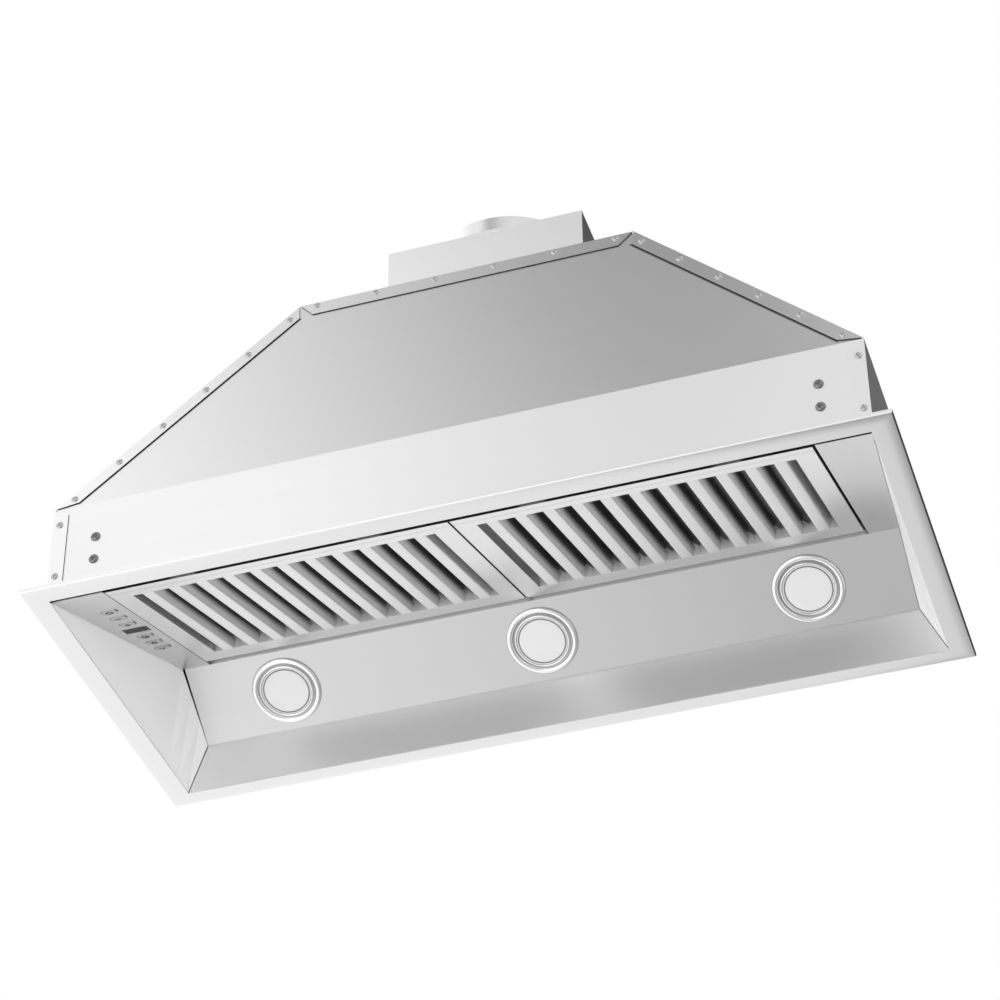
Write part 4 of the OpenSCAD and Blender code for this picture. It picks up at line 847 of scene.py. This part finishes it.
# %% [markdown]
# ## Screws
# The seams are held by pan-head screws with a cross recess, and four larger ones hold the
# brackets behind the band. A head is a profile turned about its axis, with the recess pressed in
# as a change of height over the same polar grid. A Boolean cut would be sharper, but it leaves
# long thin faces. The places are read from the CAD screws, and each head is turned a little
# further than the last, as screws come to rest at any angle.


# %% Screw heads
SCREW_REACH = 13 * MM


def screw_places(node):
    """The points of each separate screw of a node: those within SCREW_REACH of its first point."""
    rest = np.array([v.co for v in frame["nodes"][node].data.vertices])
    groups = []
    while len(rest):
        near = np.linalg.norm(rest - rest[0], axis=1) < SCREW_REACH
        groups.append(rest[near])
        rest = rest[~near]
    return groups


def pan_head(radius, height, shank, length, columns=40):
    """Points (ring, column, xyz) about the Z axis: a shank, and a round top whose height falls as
    (1 - (r / radius) cubed) to the power 1 / 2.2, less a cross recess that deepens to the middle."""
    r = radius * np.array([1.0, 0.99, 0.96, 0.9, 0.8, 0.68, 0.56, 0.46, 0.36, 0.24, 0.12, 0.0])
    z = height * (1.0 - (r / radius) ** 3) ** (1 / 2.2)
    turn = np.linspace(0.0, 2 * np.pi, columns, endpoint=False)
    x, y = r[:, None] * np.cos(turn), r[:, None] * np.sin(turn)
    arm, reach = 0.15 * radius, 0.58 * radius
    inside = ((np.abs(x) < arm) & (np.abs(y) < reach)) | ((np.abs(y) < arm) & (np.abs(x) < reach))
    z = z[:, None] - inside * height * (0.72 - 0.5 * r[:, None] / reach)
    top = np.stack([x, y, z], axis=-1)
    low = [np.stack([s * np.cos(turn), s * np.sin(turn), np.full(columns, h)], axis=-1)
           for s, h in ((0.0, -length), (shank, -length), (shank, 0.0), (radius, 0.0))]
    return np.concatenate([low, top])


# the leaning front runs back by FRONT_RUN as it rises from the band to the top
FRONT_RUN, BACK_Y = 66.0 * MM, 100.0 * MM
FRONT_LEAN = np.arctan2(FRONT_RUN, TOP_Z - BAND_Z)
SPIN = 0.7
for name, node, radius, height, shank, length, finish in (
        ("seam_pan_head_screws", "seam_screws", 4.4, 2.2, 1.9, 3.6, ZINC),
        ("band_pan_head_screws", "band_screws", 6.0, 3.2, 2.6, 3.6, DARK_ZINC),
        ("box_pan_head_screws", "box_screws", 4.4, 2.2, 1.9, 1.2, ZINC)):
    shape = pan_head(radius * MM, height * MM, shank * MM, length * MM)
    all_points, all_faces = [], []
    quads = grid_faces(*shape.shape[:2], closed_v=True)
    for i, group in enumerate(screw_places(node)):
        middle = (group.min(axis=0) + group.max(axis=0)) / 2
        # a head points up on the box, else back, forward on the band, or square to the leaning front
        if node == "box_screws":
            axis = np.array([0.0, 0.0, 1.0])
        elif middle[1] > BACK_Y:
            axis = np.array([0.0, 1.0, 0.0])
        elif middle[2] < BAND_Z:
            axis = np.array([0.0, -1.0, 0.0])
        else:
            axis = np.array([0.0, -np.cos(FRONT_LEAN), np.sin(FRONT_LEAN)])
        first = np.array([1.0, 0.0, 0.0])
        second = np.cross(axis, first)
        u = np.cos(SPIN * i) * first + np.sin(SPIN * i) * second
        w = np.cross(axis, u)
        across = group @ np.stack([first, second], axis=-1)
        seat = (group @ axis).max() - height * MM
        across = (across.min(axis=0) + across.max(axis=0)) / 2
        centre = across @ np.stack([first, second]) + seat * axis
        all_faces.append(quads + len(all_points) * shape.shape[0] * shape.shape[1])
        all_points.append((shape @ np.stack([u, w, axis]) + centre).reshape(-1, 3))
    screws = mesh_piece(name, np.concatenate(all_points), np.concatenate(all_faces), corner=50.0)
    screws.data.materials.append(finish)
    stands_for(screws, node)
    print(name, len(all_points), "screws")

# %% [markdown]
# ## Softened folds
# A press brake never leaves a knife edge. These copies of the CAD panels are welded, their flat
# faces are joined again, and a Bevel modifier rounds what is left of the corners. The fold where
# the band meets the leaning front is a wide bend, so it gets its own larger weight. The flanges
# were cut with a shear, and their narrow edges get a near-black finish: a torn cut face, with
# painted shadow from the gap under each flange.


# %% Bevelled copies
NARROW = 1.6 * MM


def softened(node, finish, width, wide_at=None, share=0.2, edge=None):
    """A copy of a CAD node with its corners rounded by `width`, or by `share` of it away from the bend.
    The bend is at height `wide_at`. Narrow faces at the front get the finish `edge`: a face is
    narrow if its area is less than NARROW times its longest side."""
    source = frame["nodes"][node]
    work = bmesh.new()
    work.from_mesh(source.data)
    bmesh.ops.remove_doubles(work, verts=work.verts, dist=2e-6)
    bmesh.ops.dissolve_limit(work, angle_limit=np.radians(0.6), verts=work.verts, edges=work.edges)
    mesh = bpy.data.meshes.new("soft_" + node)
    work.to_mesh(mesh)
    work.free()
    mesh.materials.clear()
    mesh.materials.append(finish)
    mesh.polygons.foreach_set("material_index", np.zeros(len(mesh.polygons), np.int32))
    mesh.polygons.foreach_set("use_smooth", np.ones(len(mesh.polygons), bool))
    if edge is not None:
        mesh.materials.append(edge)
        spots = np.array([v.co for v in mesh.vertices])
        for face in mesh.polygons:
            corners = spots[list(face.vertices)]
            longest = np.linalg.norm(corners - np.roll(corners, 1, axis=0), axis=1).max()
            face.material_index = int(face.area < NARROW * longest and face.center.y < 0.0)
        print(node, "has", sum(face.material_index for face in mesh.polygons), "cut edges")
    piece = bpy.data.objects.new("soft_" + node, mesh)
    bpy.context.scene.collection.objects.link(piece)
    bevel = piece.modifiers.new("rounded folds", "BEVEL")
    bevel.width, bevel.segments = width, 2
    bevel.use_clamp_overlap = True
    bevel.limit_method, bevel.angle_limit = "ANGLE", np.radians(10.0)
    if wide_at is not None:
        weight = mesh.attributes.new("bevel_weight_edge", "FLOAT", "EDGE")
        ends = np.array([v.co for v in mesh.vertices])[np.array([e.vertices[:] for e in mesh.edges])]
        at_bend = (np.abs(ends[:, :, 2] - wide_at) < SHEET * 1.25).all(axis=1)
        weight.data.foreach_set("value", np.where(at_bend, 1.0, share).astype(np.float32))
        bevel.limit_method, bevel.segments = "WEIGHT", 3
    flat = piece.modifiers.new("broad faces stay flat", "WEIGHTED_NORMAL")
    flat.mode, flat.weight, flat.keep_sharp = "FACE_AREA", 100, False
    stands_for(piece, node)
    return piece


softened("front_panel", STEELS["front"], 3.0 * MM, wide_at=BAND_Z, share=0.1)
for finish, width, nodes in (
        ("shell", 0.5, ["back_panel", "blower_box"]),
        ("side", 0.4, ["left_side_panel", "right_side_panel", "top_panel"]),
        ("liner", 0.4, ["rear_liner_wall"]),
        ("end wall", 0.4, ["left_liner_wall", "right_liner_wall"]),
        ("panel", 0.4, ["light_panel", "control_panel", "blank_panel"]),
        ("filter", 0.3, ["left_filter_frame", "right_filter_frame"])):
    for node in nodes:
        softened(node, STEELS[finish], width * MM, edge=SHEARED_EDGE_AND_SHADOW if finish == "side" else None)
print("softened panels ready")

# %% [markdown]
# ## Marks on the keys
# Each key has a printed sign of the plainest kind: a ring and bar for the switch, bars for less
# and more, a clock, a lamp. A texture could carry them, but it would blur up close. So they are
# thin plates of ink, each made of bars and rings in mm.


# %% Signs
def stroke(x0, y0, x1, y1, width=1.5):
    """Corners of a bar of `width` between two points, in mm."""
    along = np.array([x1 - x0, y1 - y0]) / np.hypot(x1 - x0, y1 - y0)
    out = np.array([-along[1], along[0]]) * width / 2
    a, b = np.array([x0, y0]), np.array([x1, y1])
    return np.array([a - out, b - out, b + out, a + out])


def ring(x, y, radius, start=0.0, end=360.0, width=1.5, steps=16):
    """Quads of a ring or an arc about (x, y), between two radii in mm."""
    turn = np.radians(np.linspace(start, end, steps + 1))
    rim = np.stack([np.cos(turn), np.sin(turn)], axis=-1)
    outside, inside = rim * (radius + width / 2) + (x, y), rim * (radius - width / 2) + (x, y)
    return [np.array([outside[i], outside[i + 1], inside[i + 1], inside[i]]) for i in range(steps)]


SIGNS = [
    [*ring(0, 0, 2.4, 120, 420), stroke(0, 0.8, 0, 3.2)],
    [stroke(-2.6, 0, 2.6, 0)],
    [stroke(-2.6, 0, 2.6, 0), stroke(0, -2.6, 0, 2.6)],
    [*ring(0, 0, 2.6), stroke(0, 0, 0, 1.8), stroke(0, 0, 1.5, 0)],
    [*ring(0, 0.6, 1.9), stroke(-1.0, -2.2, 1.0, -2.2)],
    [stroke(-2.4, -1.2, 0, 1.8), stroke(2.4, -1.2, 0, 1.8)],
]
# the strip's middle across and up the slope, the keys' pitch and height, and the ink's thickness
STRIP_X, STRIP_S, KEY_PITCH, KEY_PROUD, INK = -437.8, 155.5, 26.8, 1.4, 0.08
SIGN_SCALE = 1.5
for i, (slot, sign) in enumerate(zip((-3, -2, -1, 1, 2, 3), SIGNS), start=1):
    flat = np.array(sign) * SIGN_SCALE + (STRIP_X, STRIP_S + slot * KEY_PITCH)
    boxes = np.zeros((len(flat), 2, 4, 3))
    boxes[..., :2] = flat[:, None]
    boxes[:, 0, :, 2], boxes[:, 1, :, 2] = -KEY_PROUD - INK, -KEY_PROUD
    faces = np.array([[0, 1, 2, 3], [4, 5, 6, 7], [0, 1, 5, 4], [1, 2, 6, 5], [2, 3, 7, 6],
                      [3, 0, 4, 7]])
    faces = (faces + (np.arange(len(flat)) * 8)[:, None, None]).reshape(-1, 4)
    mark = mesh_piece(f"key_{i}_sign", on_filter_plane(boxes.reshape(-1, 3) * MM), faces)
    mark.data.materials.append(MARK)
    stands_for(mark, f"key_{i}", instead=False)

# the border is two loops, an outer and an inner, at the ink's face and at the panel
BORDER_OUT, BORDER_IN = (15.5, 9.0), (13.2, 7.2)
loops = np.concatenate([CORNERS * BORDER_OUT, CORNERS * BORDER_IN]) + (STRIP_X, STRIP_S)
border = np.concatenate([np.column_stack([loops, np.full(8, level)]) for level in (-INK, 0.0)])
k = np.arange(4)
after = (k + 1) % 4
border_faces = np.concatenate([np.stack([k, after, after + step, k + step], axis=-1) + start
                               for step, start in ((4, 0), (4, 8), (8, 0), (8, 4))])
border_piece = mesh_piece("display_border", on_filter_plane(border * MM), border_faces)
border_piece.data.materials.append(MARK)
stands_for(border_piece, "display_window", instead=False)
print("six signs and the display's border")
